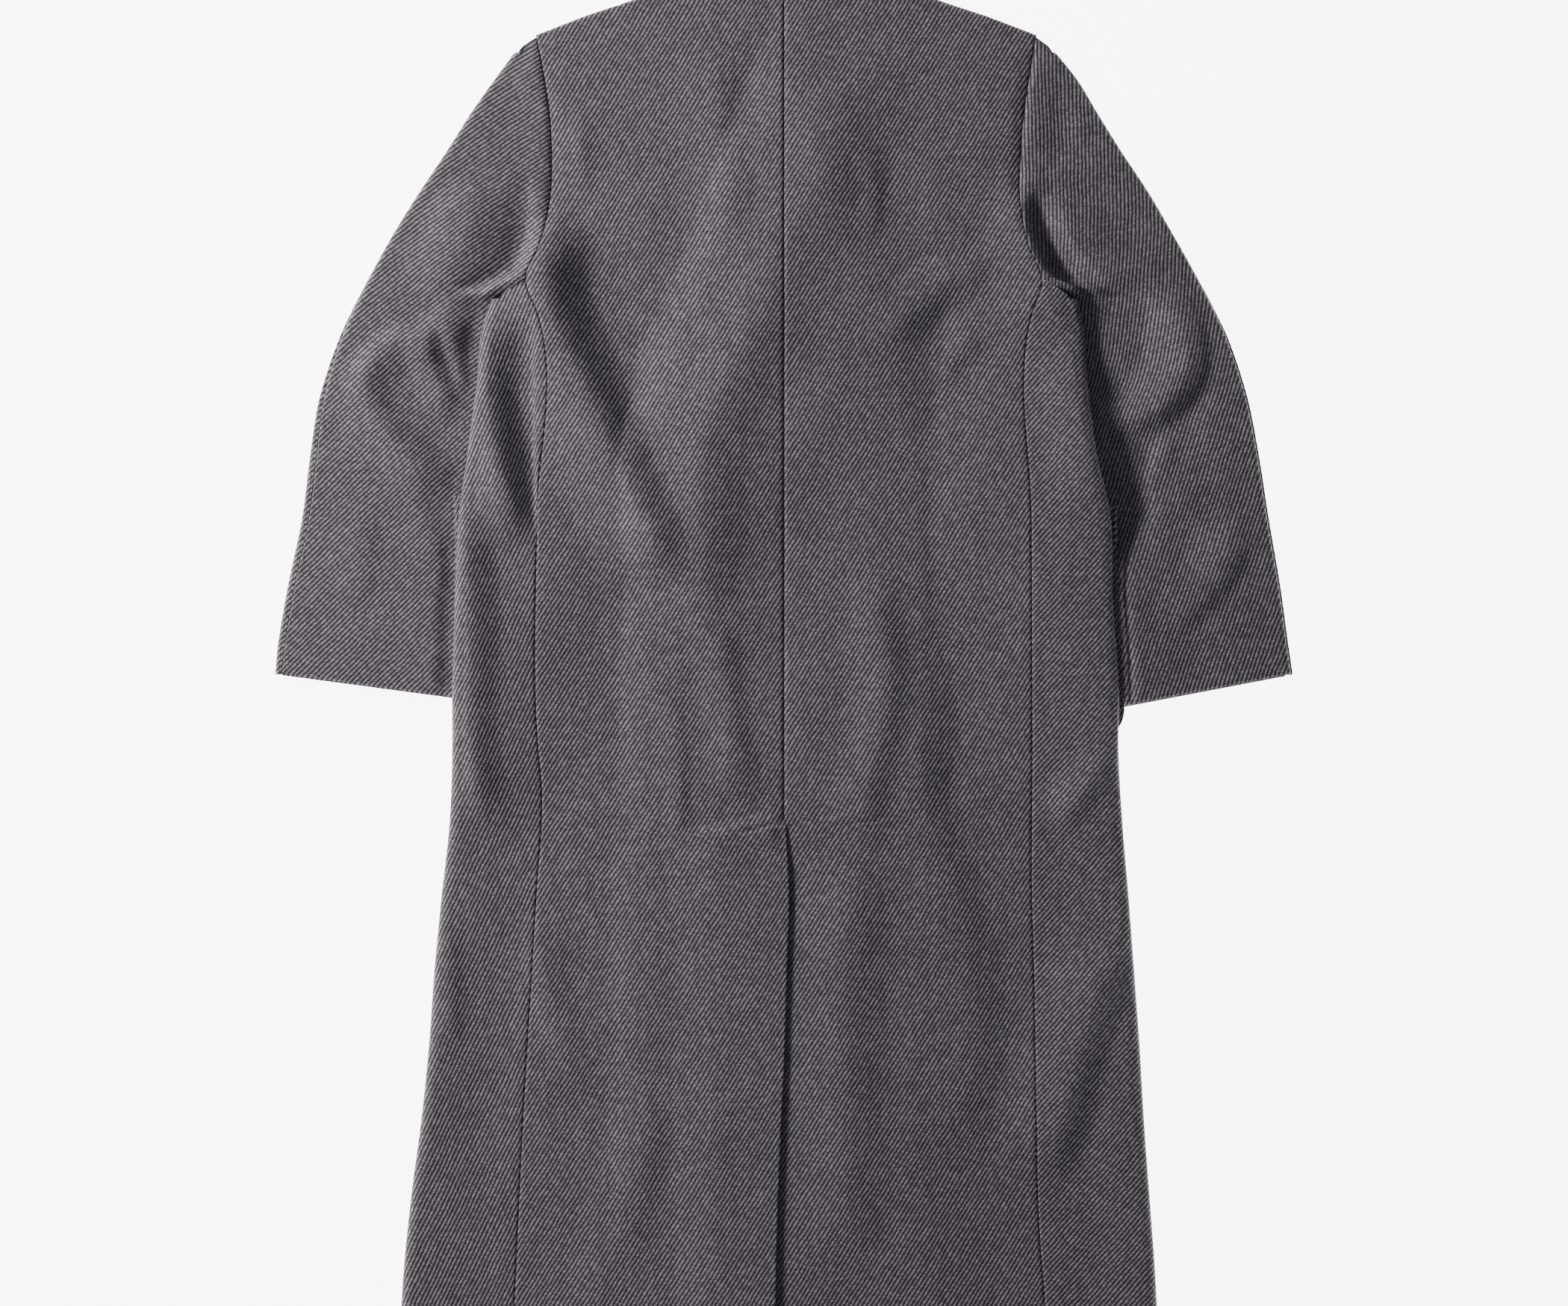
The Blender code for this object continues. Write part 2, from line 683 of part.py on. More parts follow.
def corner_cut(drop, bottom, corner):
    """How far the side edge has moved in at this drop."""
    rise = max(drop - (bottom - corner), 0.0)
    return corner - math.sqrt(max(corner ** 2 - rise ** 2, 0.0))


def patch(name, side, outline_out, top, bottom, corner, under):
    """A flat patch with rounded lower corners; outline_out gives its outer and inner edge."""
    shares = np.linspace(0, 1, 8)
    rows = []
    for drop in rounded_rows(top, bottom, corner, 4):
        outer, inner = outline_out(drop)
        cut = corner_cut(drop, bottom, corner)
        rows.append((outer - cut + (inner - outer + 2 * cut) * shares, np.full(len(shares), drop)))
    across = side * np.array([row[0] for row in rows])
    drops = np.array([row[1] for row in rows])
    sheet_from_under(name, across, drops, lambda x, d: under(side, x, d), CLOTH, WOOL)


def pocket(side):
    p = pocket_sizes(side)

    def edges(drop):
        outer = np.interp(drop, (p["top"], p["bottom"]), (p["outer_top"], p["outer_bottom"]))
        return outer, outer - p["width"]

    patch("pocket_" + name_of(side), side, edges, p["top"], p["bottom"], POCKET_CORNER, pocket_under)


def pocket_flap(side):
    p = pocket_sizes(side)

    def edges(drop):
        return p["outer_top"] + FLAP_OVERHANG, p["outer_top"] - p["width"] - FLAP_OVERHANG

    patch("pocket_flap_" + name_of(side), side, edges, p["top"] - 4, p["top"] + FLAP_DEPTH,
          FLAP_CORNER, flap_under)


def sleeve_stations(side):
    """The sleeve's rows, with a further row between each two below the underarm."""
    sleeve = SLEEVE_LEFT if side < 0 else SLEEVE_RIGHT
    count = len(sleeve["in_out"])
    places = sorted(set(range(count)) | {i + 0.5 for i in range(4, count - 1)})
    index = np.arange(count)
    return [{name: float(np.interp(p, index, column)) for name, column in sleeve.items()} for p in places]


def sleeve(side):
    """The two halves of a flattened sleeve: the hind one above, the front one on the surface."""
    folds = SLEEVE_LEFT_FOLDS if side < 0 else SLEEVE_RIGHT_FOLDS
    upper_shares = np.array((0.0, 0.1, 0.22, 0.34, 0.46, 0.58, 0.7, 0.81, 0.91, 1.0))
    lower_shares = np.array((1.0, 0.6, 0.25, 0.0))
    faces = {"hind": ([], []), "front": ([], [])}
    stations = sleeve_stations(side)
    for number, row in enumerate(stations):
        roll = min(SLEEVE_ROLL, 0.4 * (row["out_out"] - row["in_out"]))
        length = row["out_out"] - row["in_out"]
        seam_gap = SEAM if row["in_drop"] < 285 else 0.0
        inner_out = row["in_out"] + seam_gap
        out = inner_out + (row["out_out"] - roll - inner_out) * upper_shares
        share = (out - row["in_out"]) / length
        drop = row["in_drop"] + (row["out_drop"] - row["in_drop"]) * share
        below_arm = ease((row["in_drop"] - 262) / 32)
        seam_top = back_top(side * row["in_out"], row["in_drop"])
        at_seam = float(seam_top) * (1 - below_arm) + STRIP_TOP * below_arm
        edge = read(SIDE_EDGE, name_of(side), drop)
        beyond = (out - row["in_out"]) * (1 - below_arm) + (out - edge - 6) * below_arm
        rise = ease(beyond / (70 - 28 * below_arm))
        folded = fold_height(folds, side * out, drop) * ease(beyond / 14) * ease((row["out_out"] - out) / 40)
        beside_seam = ease(beyond / 8) * ease((36 - beyond) / 26)
        head = SLEEVE_HEAD * beside_seam * ease((row["in_drop"] - 55) / 30) * ease((238 - row["in_drop"]) / 30)
        top = np.maximum(at_seam + (row["height"] - at_seam) * rise + folded + head, STRIP_TOP)
        high = row["height"] / 2
        low_out = inner_out + (row["out_out"] - roll - inner_out) * lower_shares
        low_share = (low_out - row["in_out"]) / length
        low_drop = row["in_drop"] + (row["out_drop"] - row["in_drop"]) * low_share
        parting = row["seam_angle"]
        upper_turn = np.linspace(90, parting + SEAM_TURN, 4)[1:]
        lower_turn = np.linspace(parting - SEAM_TURN, -90, 6)[:-1]
        past_cuff = HEM_PEEK if number == len(stations) - 1 else 0.0

        def turned(angle, inset):
            c = math.cos(math.radians(angle))
            s = math.sin(math.radians(angle))
            return (row["out_out"] - roll + (roll - inset) * c, row["out_drop"], high + (high - inset) * s)

        outer = [(o, d, z) for o, d, z in zip(out, drop, top)] + [turned(a, 0) for a in upper_turn]
        inner = [(o, d, z - CLOTH) for o, d, z in zip(out, drop, top)] + [turned(a, CLOTH) for a in upper_turn]
        faces["hind"][0].append(outer)
        faces["hind"][1].append(inner)
        outer = [turned(a, 0) for a in lower_turn] + [(o, d, 0.0) for o, d in zip(low_out, low_drop)]
        inner = [turned(a, CLOTH) for a in lower_turn] + [(o, d, CLOTH) for o, d in zip(low_out, low_drop)]
        faces["front"][0].append([(o, d + past_cuff, z) for o, d, z in outer])
        faces["front"][1].append([(o, d + past_cuff, z) for o, d, z in inner])
    for part, (outer, inner) in faces.items():
        outer = np.array(outer) * (side, 1, 1)
        inner = np.array(inner) * (side, 1, 1)
        wall("sleeve_" + part + "_" + name_of(side), outer, inner, WOOL)


def collar():
    """The collar, lofted from one front end, round the back of the neck, to the other."""
    half = COLLAR_CLOTH / 2
    floor = half + COLLAR_STEP
    centre = floor + NECK_HALF_HEIGHT
    sections_outer = []
    sections_inner = []
    stations = [("front", q) for q in (1.0, 0.7, 0.4, 0.15)]
    stations += [("turn", a) for a in (-90, -55, -20, 20, 55, 90)]
    stations += [("back", s) for s in (0.8, 0.6, 0.4, 0.2)]
    sides = [(-1, s) for s in stations] + [(1, ("back", 0.0))] + [(1, s) for s in stations[::-1]]
    for side, (zone, value) in sides:
        outer = []
        inner = []
        for i in range(len(COLLAR["level"])):
            level = COLLAR["level"][i]
            tall = NECK_HALF_HEIGHT + COLLAR_STEP * level
            turn_out = COLLAR["turn_out"][i]
            turn_drop = COLLAR["turn_drop"][i]
            skin = half if level else -half
            if zone == "back":
                out = (turn_out - tall) * value
                drop = COLLAR["centre_drop"][i] + (turn_drop - COLLAR["centre_drop"][i]) * value ** 2
                c, s = 0.0, 1.0
                base_out, base_z = out, centre + tall
            elif zone == "turn":
                c = math.cos(math.radians(value))
                s = math.sin(math.radians(value))
                drop = turn_drop
                base_out, base_z = turn_out - tall + tall * c, centre + tall * s
            else:
                start_out = turn_out - tall
                base_out = start_out + (COLLAR["end_out"][i] - start_out) * value
                drop = turn_drop + (COLLAR["end_drop"][i] - turn_drop) * value
                c, s = 0.0, -1.0
                base_z = centre - tall
            outer.append((side * (base_out + skin * c), drop, base_z + skin * s))
            inner.append((side * (base_out - skin * c), drop, base_z - skin * s))
            if i == 2:
                reach = COLLAR_STEP / 2
                middle_z = centre + (NECK_HALF_HEIGHT + reach) * s
                if zone == "turn":
                    fold_out = turn_out - tall + (tall + reach) * c
                else:
                    fold_out = base_out + 2.0
                outer.append((side * fold_out, drop - reach - half, middle_z))
                inner.append((side * fold_out, drop - 0.5, middle_z))
        sections_outer.append(outer)
        sections_inner.append(inner)
    wall("collar", np.array(sections_outer), np.array(sections_inner), WOOL)


def button(number, side, drop):
    """A turned button with a raised rim, face down under the left front."""
    profile = ((0.0, 0.45), (0.62, 0.45), (0.74, 0.0), (0.93, 0.0), (1.0, 0.3), (1.0, 0.6), (0.8, 1.0), (0.0, 1.0))
    mesh = bpy.data.meshes.new("button_%d" % number)
    points = [(r * BUTTON_RADIUS * METRE, 0, z * BUTTON_HEIGHT * METRE) for r, z in reversed(profile)]
    mesh.from_pydata(points, [(i, i + 1) for i in range(len(points) - 1)], [])
    piece = add_object("button_%d" % number, mesh, HORN)
    around = np.radians(np.arange(0, 360, 45))
    front = left_front_under(side * BUTTON_OUT + BUTTON_RADIUS * np.cos(around),
                             drop + BUTTON_RADIUS * np.sin(around))
    seat = front.min() - BUTTON_HEIGHT - SEAM - 0.2
    piece.location = world(side * BUTTON_OUT, drop, max(seat, 0.0))
    turned = piece.modifiers.new("turned", "SCREW")
    turned.axis = "Z"
    turned.steps = 14
    turned.render_steps = 14
    turned.use_merge_vertices = True
    turned.merge_threshold = 0.0001
    turned.use_normal_calculate = True


WOOL = ((0.065, 0.068, 0.074), 0.95)
HORN = ((0.03, 0.026, 0.024), 0.35)

for leftover in list(bpy.data.objects):
    bpy.data.objects.remove(leftover, do_unlink=True)

coat = bpy.data.collections.new("polo_coat")
bpy.context.scene.collection.children.link(coat)

back_left()
back_right()
collar()
for hand in (-1, 1):
    side_panel(hand)
    front_panel(hand)
    lapel(hand)
    sleeve(hand)
    pocket(hand)
    pocket_flap(hand)
button_number = 1
for row_drop in BUTTON_DROPS:
    for hand in (-1, 1):
        button(button_number, hand, row_drop)
        button_number += 1
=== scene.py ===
"""A long charcoal twill overcoat, laid flat on its front, dressed over its CAD frame.

Lengths are in millimetres, as "across" (to the right, seen from above) and "drop" (down from the
nape), until a mesh is made from them in metres. The sections run from the table upwards.
"""
import math
from functools import partial

import bpy
import numpy as np
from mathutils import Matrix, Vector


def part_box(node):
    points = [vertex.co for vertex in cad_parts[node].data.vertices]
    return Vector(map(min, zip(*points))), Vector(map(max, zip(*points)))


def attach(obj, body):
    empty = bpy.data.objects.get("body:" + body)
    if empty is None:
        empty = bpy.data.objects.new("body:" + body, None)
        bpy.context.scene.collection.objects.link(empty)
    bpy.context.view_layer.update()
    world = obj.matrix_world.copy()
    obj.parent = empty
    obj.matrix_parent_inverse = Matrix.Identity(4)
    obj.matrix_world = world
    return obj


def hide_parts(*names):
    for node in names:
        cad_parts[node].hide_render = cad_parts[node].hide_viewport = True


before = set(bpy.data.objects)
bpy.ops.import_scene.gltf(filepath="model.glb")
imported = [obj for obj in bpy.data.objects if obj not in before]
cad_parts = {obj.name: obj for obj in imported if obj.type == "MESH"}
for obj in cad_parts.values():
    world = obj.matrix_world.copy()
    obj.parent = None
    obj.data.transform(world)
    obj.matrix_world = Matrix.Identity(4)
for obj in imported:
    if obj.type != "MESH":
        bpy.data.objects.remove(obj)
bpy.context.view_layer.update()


# Surface, light and camera. The coat lies on a pale studio table, lit by one large soft lamp from
# the upper left and a weak even fill, and is seen from straight above.

def put(name, data):
    """A new object in the scene."""
    thing = bpy.data.objects.new(name, data)
    bpy.context.scene.collection.objects.link(thing)
    return thing


def put_mesh(name, points, edges, faces, mesh_name=None):
    mesh = bpy.data.meshes.new(mesh_name or name)
    mesh.from_pydata(points, edges, faces)
    return put(name, mesh)


def feed(node, inputs):
    """Sets a node's inputs, or links those whose value is another node's output."""
    for socket, value in inputs:
        if isinstance(value, bpy.types.NodeSocket):
            node.id_data.links.new(value, node.inputs[socket])
        else:
            node.inputs[socket].default_value = value


def add_node(tree, kind, inputs=(), **settings):
    made = tree.nodes.new(kind)
    for key, value in settings.items():
        setattr(made, key, value)
    feed(made, inputs)
    return made


def new_material(name, looks):
    """A material with these inputs of its shader, the function that adds nodes to it, and the shader."""
    made = bpy.data.materials.new(name)
    made.use_nodes = True
    shader = made.node_tree.nodes["Principled BSDF"]
    feed(shader, looks)
    return made, partial(add_node, made.node_tree), shader


TABLE_HALF = 6
TABLE_DROP = 0.0008
corners = [(TABLE_HALF * x, TABLE_HALF * y, -TABLE_DROP) for x, y in ((-1, -1), (1, -1), (1, 1), (-1, 1))]
table_top = put_mesh("studio_table", corners, [], [(0, 1, 2, 3)])
table_top.data.materials.append(new_material("pale_paper", [
    ("Base Color", (0.9, 0.89, 0.88, 1)), ("Roughness", 0.9),
    ("Emission Color", (1.0, 0.992, 0.98, 1)), ("Emission Strength", 7.5)])[0])

LAMP_PLACE = (-2.15, 0.82, 1.15)
lamp = bpy.data.lights.new("window_lamp", "AREA")
lamp.shape = "DISK"
lamp.size = 0.7
lamp.energy = 92.0
lamp.color = (1.0, 0.985, 0.97)
lamp_holder = put("window_lamp", lamp)
lamp_holder.location = LAMP_PLACE
tip = math.atan2(math.hypot(*LAMP_PLACE[:2]), LAMP_PLACE[2])
lamp_holder.rotation_euler = (tip, 0, math.atan2(LAMP_PLACE[1], LAMP_PLACE[0]) + math.pi / 2)

surround = bpy.data.worlds.new("studio_air")
bpy.context.scene.world = surround
surround.use_nodes = True
feed(surround.node_tree.nodes["Background"], [("Color", (0.95, 0.97, 1.0, 1)), ("Strength", 0.17)])

SENSOR = 36.0
VIEW_DISTANCE = 4.0
VIEW_WIDTH = 1.428
VIEW_SHIFT = -0.01639
FOCUS_HEIGHT = 0.012
camera_data = bpy.data.cameras.new("overhead_camera")
camera_data.sensor_width = SENSOR
camera_data.lens = SENSOR * VIEW_DISTANCE / VIEW_WIDTH
camera_data.clip_end = 50.0
camera = put("overhead_camera", camera_data)
camera.location = (0.0, VIEW_SHIFT, VIEW_DISTANCE + FOCUS_HEIGHT)
bpy.context.scene.camera = camera


# Pocket flaps. Each is a rectangle of the coat's wool with rounded lower corners, sewn on above its
# pocket and hanging over it. Lying on its front the coat rests on them, near its two side edges.

MM = 0.001
HAND = {-1: "left", 1: "right"}
# One layer of cloth, the air over it, the lap of two pieces at a seam, and the drop of the coat's middle
CLOTH = 2.4
LAYER = 1.0
SEAM = -0.6
MIDDLE = 595.95
# The strip of each sleeve that the body lies on: its height, where it starts, its reach past the edge
STRIP_TOP = 5.3
STRIP_START = 285
STRIP_PAST_EDGE = 14
FLAP_DEPTH = 43.0
FLAP_OVER = 2
FLAP_RISE = 4
FLAP_CORNER = 16.0
FLAP_CURL = 9.0
FLAP_CURL_START = 297.5


def table(columns, *rows):
    return {name: np.array([row[i] for row in rows], float) for i, name in enumerate(columns.split())}


SIDE_EDGE = table(
    "drop left right",
    (290, 266, 267), (310, 273, 272), (371, 280, 277), (439, 289, 286), (480, 295, 296), (562, 299, 299),
    (655, 302, 305), (700, 302, 304.5), (766, 305, 308.5), (834, 312.5, 314.5), (902, 319, 319.5),
    (970, 324, 324.5), (1038, 331, 328.5), (1106, 340, 333.5), (1174, 347, 338.5), (1242, 351, 342),
)
# Inner and outer edge of each sleeve from the shoulder point to the cuff, its height without folds,
# and how far its hind seam stands above the outer edge, in degrees of the turn
SLEEVE_COLUMNS = "in_out in_drop out_out out_drop height seam_angle"
SLEEVES = {-1: table(
    SLEEVE_COLUMNS,
    (227.5, 51, 246.5, 64, 7.4, 10), (220, 82, 267, 92, 8.2, 5), (214, 120, 286.5, 120, 9.0, 0),
    (212, 157, 308, 154, 9.4, 0), (213, 194, 332, 190, 9.4, 0), (223, 242, 356, 228, 9.4, 5),
    (235, 273, 376, 264, 9.4, 10), (262, 290, 393.5, 298, 9.4, 20), (262, 332, 408.5, 332, 9.4, 40),
    (256, 390, 424.5, 382, 9.4, 64), (258, 450, 433, 436, 9.4, 78), (270, 510, 440, 490, 9.4, 81),
    (284, 575, 453, 552, 9.4, 81), (294, 625, 461.5, 602, 9.4, 81), (298, 653, 464.5, 630.5, 9.4, 81),
), 1: table(
    SLEEVE_COLUMNS,
    (231.5, 51, 248.5, 64, 7.4, 10), (225, 82, 269, 90, 8.2, 5), (219, 120, 287.5, 121, 9.0, 0),
    (216, 157, 308.6, 155, 9.4, 0), (215, 194, 332.5, 191, 9.4, 0), (223, 242, 355.5, 230, 9.4, 5),
    (235, 273, 374.5, 264, 9.4, 10), (258, 290, 392.5, 298, 9.4, 20), (256, 332, 408, 332, 9.4, 30),
    (250, 390, 423.8, 382, 9.4, 30), (256, 450, 434.2, 436, 9.4, 30), (272, 510, 442.6, 490, 9.4, 30),
    (290, 575, 453.2, 552, 9.4, 30), (303, 628, 460, 602, 9.4, 30), (309, 661, 464.5, 631, 9.4, 30),
)}
POCKETS = {
    -1: dict(outer_top=299, outer_bottom=302, width=190, top=473, bottom=671),
    1: dict(outer_top=301, outer_bottom=312, width=190, top=483, bottom=692),
}


def ease(t):
    t = np.clip(t, 0.0, 1.0)
    return t * t * (3 - 2 * t)


def rises(value, start, over):
    """0 up to start, then softly up to 1 over a distance."""
    return ease((value - start) / over)


def falls(value, end, over):
    """1 at first, then softly down over a distance, to reach 0 at the end."""
    return ease((end - value) / over)


def curve_through(keys, values, at):
    """A smooth curve through a table's points, read at any place."""
    keys = np.asarray(keys, float)
    values = np.asarray(values, float)
    slopes = np.gradient(values, keys)
    i = np.clip(np.searchsorted(keys, at) - 1, 0, len(keys) - 2)
    gap = keys[i + 1] - keys[i]
    t = np.clip((at - keys[i]) / gap, 0, 1)
    start = (1 + 2 * t) * (1 - t) ** 2 * values[i] + t * (1 - t) ** 2 * gap * slopes[i]
    return start + t * t * (3 - 2 * t) * values[i + 1] + t * t * (t - 1) * gap * slopes[i + 1]


def read(rows, column, drop):
    return curve_through(rows["drop"], rows[column], drop)


def outside(outline, out, drop):
    """Distance of points from an outline, and 0 for those within it."""
    corners = np.array(outline, float)
    nearest = np.full(np.shape(out), np.inf)
    within = np.zeros(np.shape(out), bool)
    for (ax, ad), (bx, bd) in zip(corners, np.roll(corners, -1, axis=0)):
        length = max((bx - ax) ** 2 + (bd - ad) ** 2, 1e-9)
        t = np.clip(((out - ax) * (bx - ax) + (drop - ad) * (bd - ad)) / length, 0, 1)
        nearest = np.minimum(nearest, np.hypot(out - ax - t * (bx - ax), drop - ad - t * (bd - ad)))
        if ad != bd:
            crosses = (ad > drop) != (bd > drop)
            within ^= crosses & (out < ax + (bx - ax) * (drop - ad) / (bd - ad))
    return np.where(within, 0.0, nearest)


def cover(distance, reach=34.0, fall=110.0):
    """1 over a piece that lies underneath and a little beyond it, then softly down to 0."""
    return ease(1 - (distance - reach) / fall)


def lift_over(outline, thickness, side, across, drop):
    """Height that a piece with this outline gives to whatever lies on it."""
    return cover(outside(outline, side * across, drop)) * thickness


def strip_outline(side):
    """The inner strip of a sleeve, where the body lies on it."""
    sleeve = SLEEVES[side]
    hidden = [(o, d) for o, d in zip(sleeve["in_out"], sleeve["in_drop"]) if d > STRIP_START]
    edge = [(np.interp(d, SIDE_EDGE["drop"], SIDE_EDGE[HAND[side]]) + STRIP_PAST_EDGE, d) for o, d in hidden]
    return hidden + edge[::-1]


def sleeve_under(side, across, drop):
    """Height of whatever lies on a sleeve's inner strip."""
    return lift_over(strip_outline(side), STRIP_TOP + LAYER, side, across, drop)


TWILL_ANGLE = 58
RIB_PITCH = 3.45
FLOAT_LENGTH = 1.8


def wool_twill():
    """Heavy mixed-grey wool in steep twill ribs of short floats, with painted shade: each float is lighter on
    its middle, and the gaps between the yarns are painted near black.
    """
    wool, node, shader = new_material("wool_twill", [
        ("Roughness", 0.95), ("Specular IOR Level", 0.15), ("Sheen Weight", 0.12), ("Sheen Roughness", 0.6),
        ("Sheen Tint", (0.75, 0.78, 0.85, 1))])

    def calc(kind, *values):
        return node("ShaderNodeMath", list(enumerate(values)), operation=kind).outputs[0]

    def scaled(value, gain, base):
        return calc("MULTIPLY_ADD", value, gain, base)

    def noise(vector, scale, detail):
        made = node("ShaderNodeTexNoise", [("Vector", vector), ("Scale", scale), ("Detail", detail)])
        return made.outputs["Fac"]

    def yarn_bulge_and_shade(place, power):
        """Rises from 0 at both sides of a yarn to 1 on its middle; as colour it is painted shade of the round
        yarn, as height it feeds the bump.
        """
        return calc("SUBTRACT", 1.0, calc("POWER", calc("ABSOLUTE", scaled(place, 2.0, -1.0)), power))

    cloth = node("ShaderNodeUVMap", uv_map="cut").outputs["UV"]
    in_mm = ("Scale", (1000, 1000, 1000))
    turn = ("Rotation", (0, 0, math.radians(-TWILL_ANGLE)))
    turned = node("ShaderNodeMapping", [("Vector", cloth), turn, in_mm]).outputs["Vector"]
    cut = node("ShaderNodeSeparateXYZ", [("Vector", turned)])
    waver = calc("ADD", scaled(noise(cloth, 32.0, 1.0), 2.6, 0.0), scaled(noise(cloth, 330.0, 1.0), 0.9, 0.0))
    rib = calc("DIVIDE", calc("ADD", cut.outputs["Y"], waver), RIB_PITCH)
    rib_number = calc("FLOOR", rib)
    in_rib = calc("FRACT", rib)
    slip = scaled(noise(cloth, 260.0, 0.0), 2.6, 0.0)
    along = calc("DIVIDE", calc("ADD", cut.outputs["X"], slip), FLOAT_LENGTH)
    step = calc("ADD", calc("MULTIPLY_ADD", rib_number, 0.43, along), scaled(in_rib, 0.55, 0.0))
    float_number = calc("FLOOR", step)
    in_float = calc("FRACT", step)
    # Painted shade: the yarns are lighter on their middles and darker at their sides; the same profile also
    # raises the bump
    yarn = calc("MULTIPLY", calc("POWER", yarn_bulge_and_shade(in_rib, 1.6), 1.7), scaled(yarn_bulge_and_shade(in_float, 2.2), 0.62, 0.38))
    cell = node("ShaderNodeCombineXYZ", [("X", rib_number), ("Y", float_number)]).outputs["Vector"]
    dye = node("ShaderNodeTexWhiteNoise", [("Vector", cell)], noise_dimensions="2D").outputs["Value"]
    slim = node("ShaderNodeMapping", [("Vector", turned), ("Scale", (1.0, 1.6, 1.0))]).outputs["Vector"]
    fibres = noise(slim, 0.85, 3.0)
    cloud = noise(cloth, 16.0, 3.0)
    shade = scaled(calc("MULTIPLY", yarn, scaled(calc("POWER", dye, 1.8), 0.85, 0.65)), 1.02, 0.025)
    shade = calc("MULTIPLY", shade, scaled(fibres, 3.4, -0.7))
    shade = calc("MULTIPLY", shade, scaled(noise(turned, 2.2, 2.0), 3.8, -0.9))
    shade = calc("MULTIPLY", shade, scaled(cloud, 0.3, 0.85))
    # The ramp's near-black end paints the shade in the gaps between the yarns; the dye, fibres and cloud vary
    # the wool's own mixed tone
    ramp = node("ShaderNodeValToRGB", [("Fac", shade)])
    ramp.color_ramp.elements[0].color = (0.0062, 0.0056, 0.0064, 1)
    ramp.color_ramp.elements[1].color = (0.405, 0.372, 0.406, 1)
    # Inputs 0, 6 and 7 of a colour mix are its share and its two colours; output 2 is the mixed one
    cool_or_warm = [(0, noise(slim, 0.42, 1.0)), (6, (0.86, 0.97, 1.16, 1)), (7, (1.16, 1.0, 0.88, 1))]
    tint = node("ShaderNodeMix", cool_or_warm, data_type="RGBA")
    dyed = [(0, 1.0), (6, ramp.outputs["Color"]), (7, tint.outputs[2])]
    colour = node("ShaderNodeMix", dyed, data_type="RGBA", blend_type="MULTIPLY")
    relief = calc("MULTIPLY_ADD", fibres, 0.35, yarn)
    bump = node("ShaderNodeBump", [("Height", relief), ("Strength", 0.75), ("Distance", 0.6 * MM)])
    feed(shader, [("Base Color", colour.outputs[2]), ("Normal", bump.outputs["Normal"])])
    return wool


WOOL = wool_twill()


def spread(start, end, step):
    """Places from start to end, closer together within a few millimetres of either end."""
    whole = abs(end - start)
    fine = [p for p in (0.0, 0.5, 1.1, 2.2, 3.8) if p < whole / 3]
    count = max(int(round((whole - 2 * fine[-1]) / step)), 1)
    middle = np.linspace(fine[-1], whole - fine[-1], count + 1)[1:-1]
    places = np.array(fine + list(middle) + [whole - p for p in fine[::-1]])
    return start + math.copysign(1, end - start) * places


def shares(width, step):
    """Shares of a width, closer together near both ends."""
    return spread(0.0, width, step) / width


def unevenness(across, drop, size, wave, seed):
    """Slow, irregular rise and fall, as no cloth lies quite flat."""
    dice = np.random.default_rng(seed)
    total = np.zeros(np.shape(across))
    for turn, share in zip(dice.uniform(0, math.pi, 9), dice.uniform(0.6, 1.7, 9)):
        length = wave * share
        phase = dice.uniform(0, 2 * math.pi)
        total += np.sin((across * math.cos(turn) + drop * math.sin(turn)) * 2 * math.pi / length + phase)
    return total * size / 4


RIM = 1.1
SEAM_REACH = 3.6
LINING_SIDE = 0.3


def in_metres(points):
    """(across, drop, height) points in the scene's frame."""
    return np.asarray(points) * (MM, -MM, MM) + (0, MIDDLE * MM, 0)


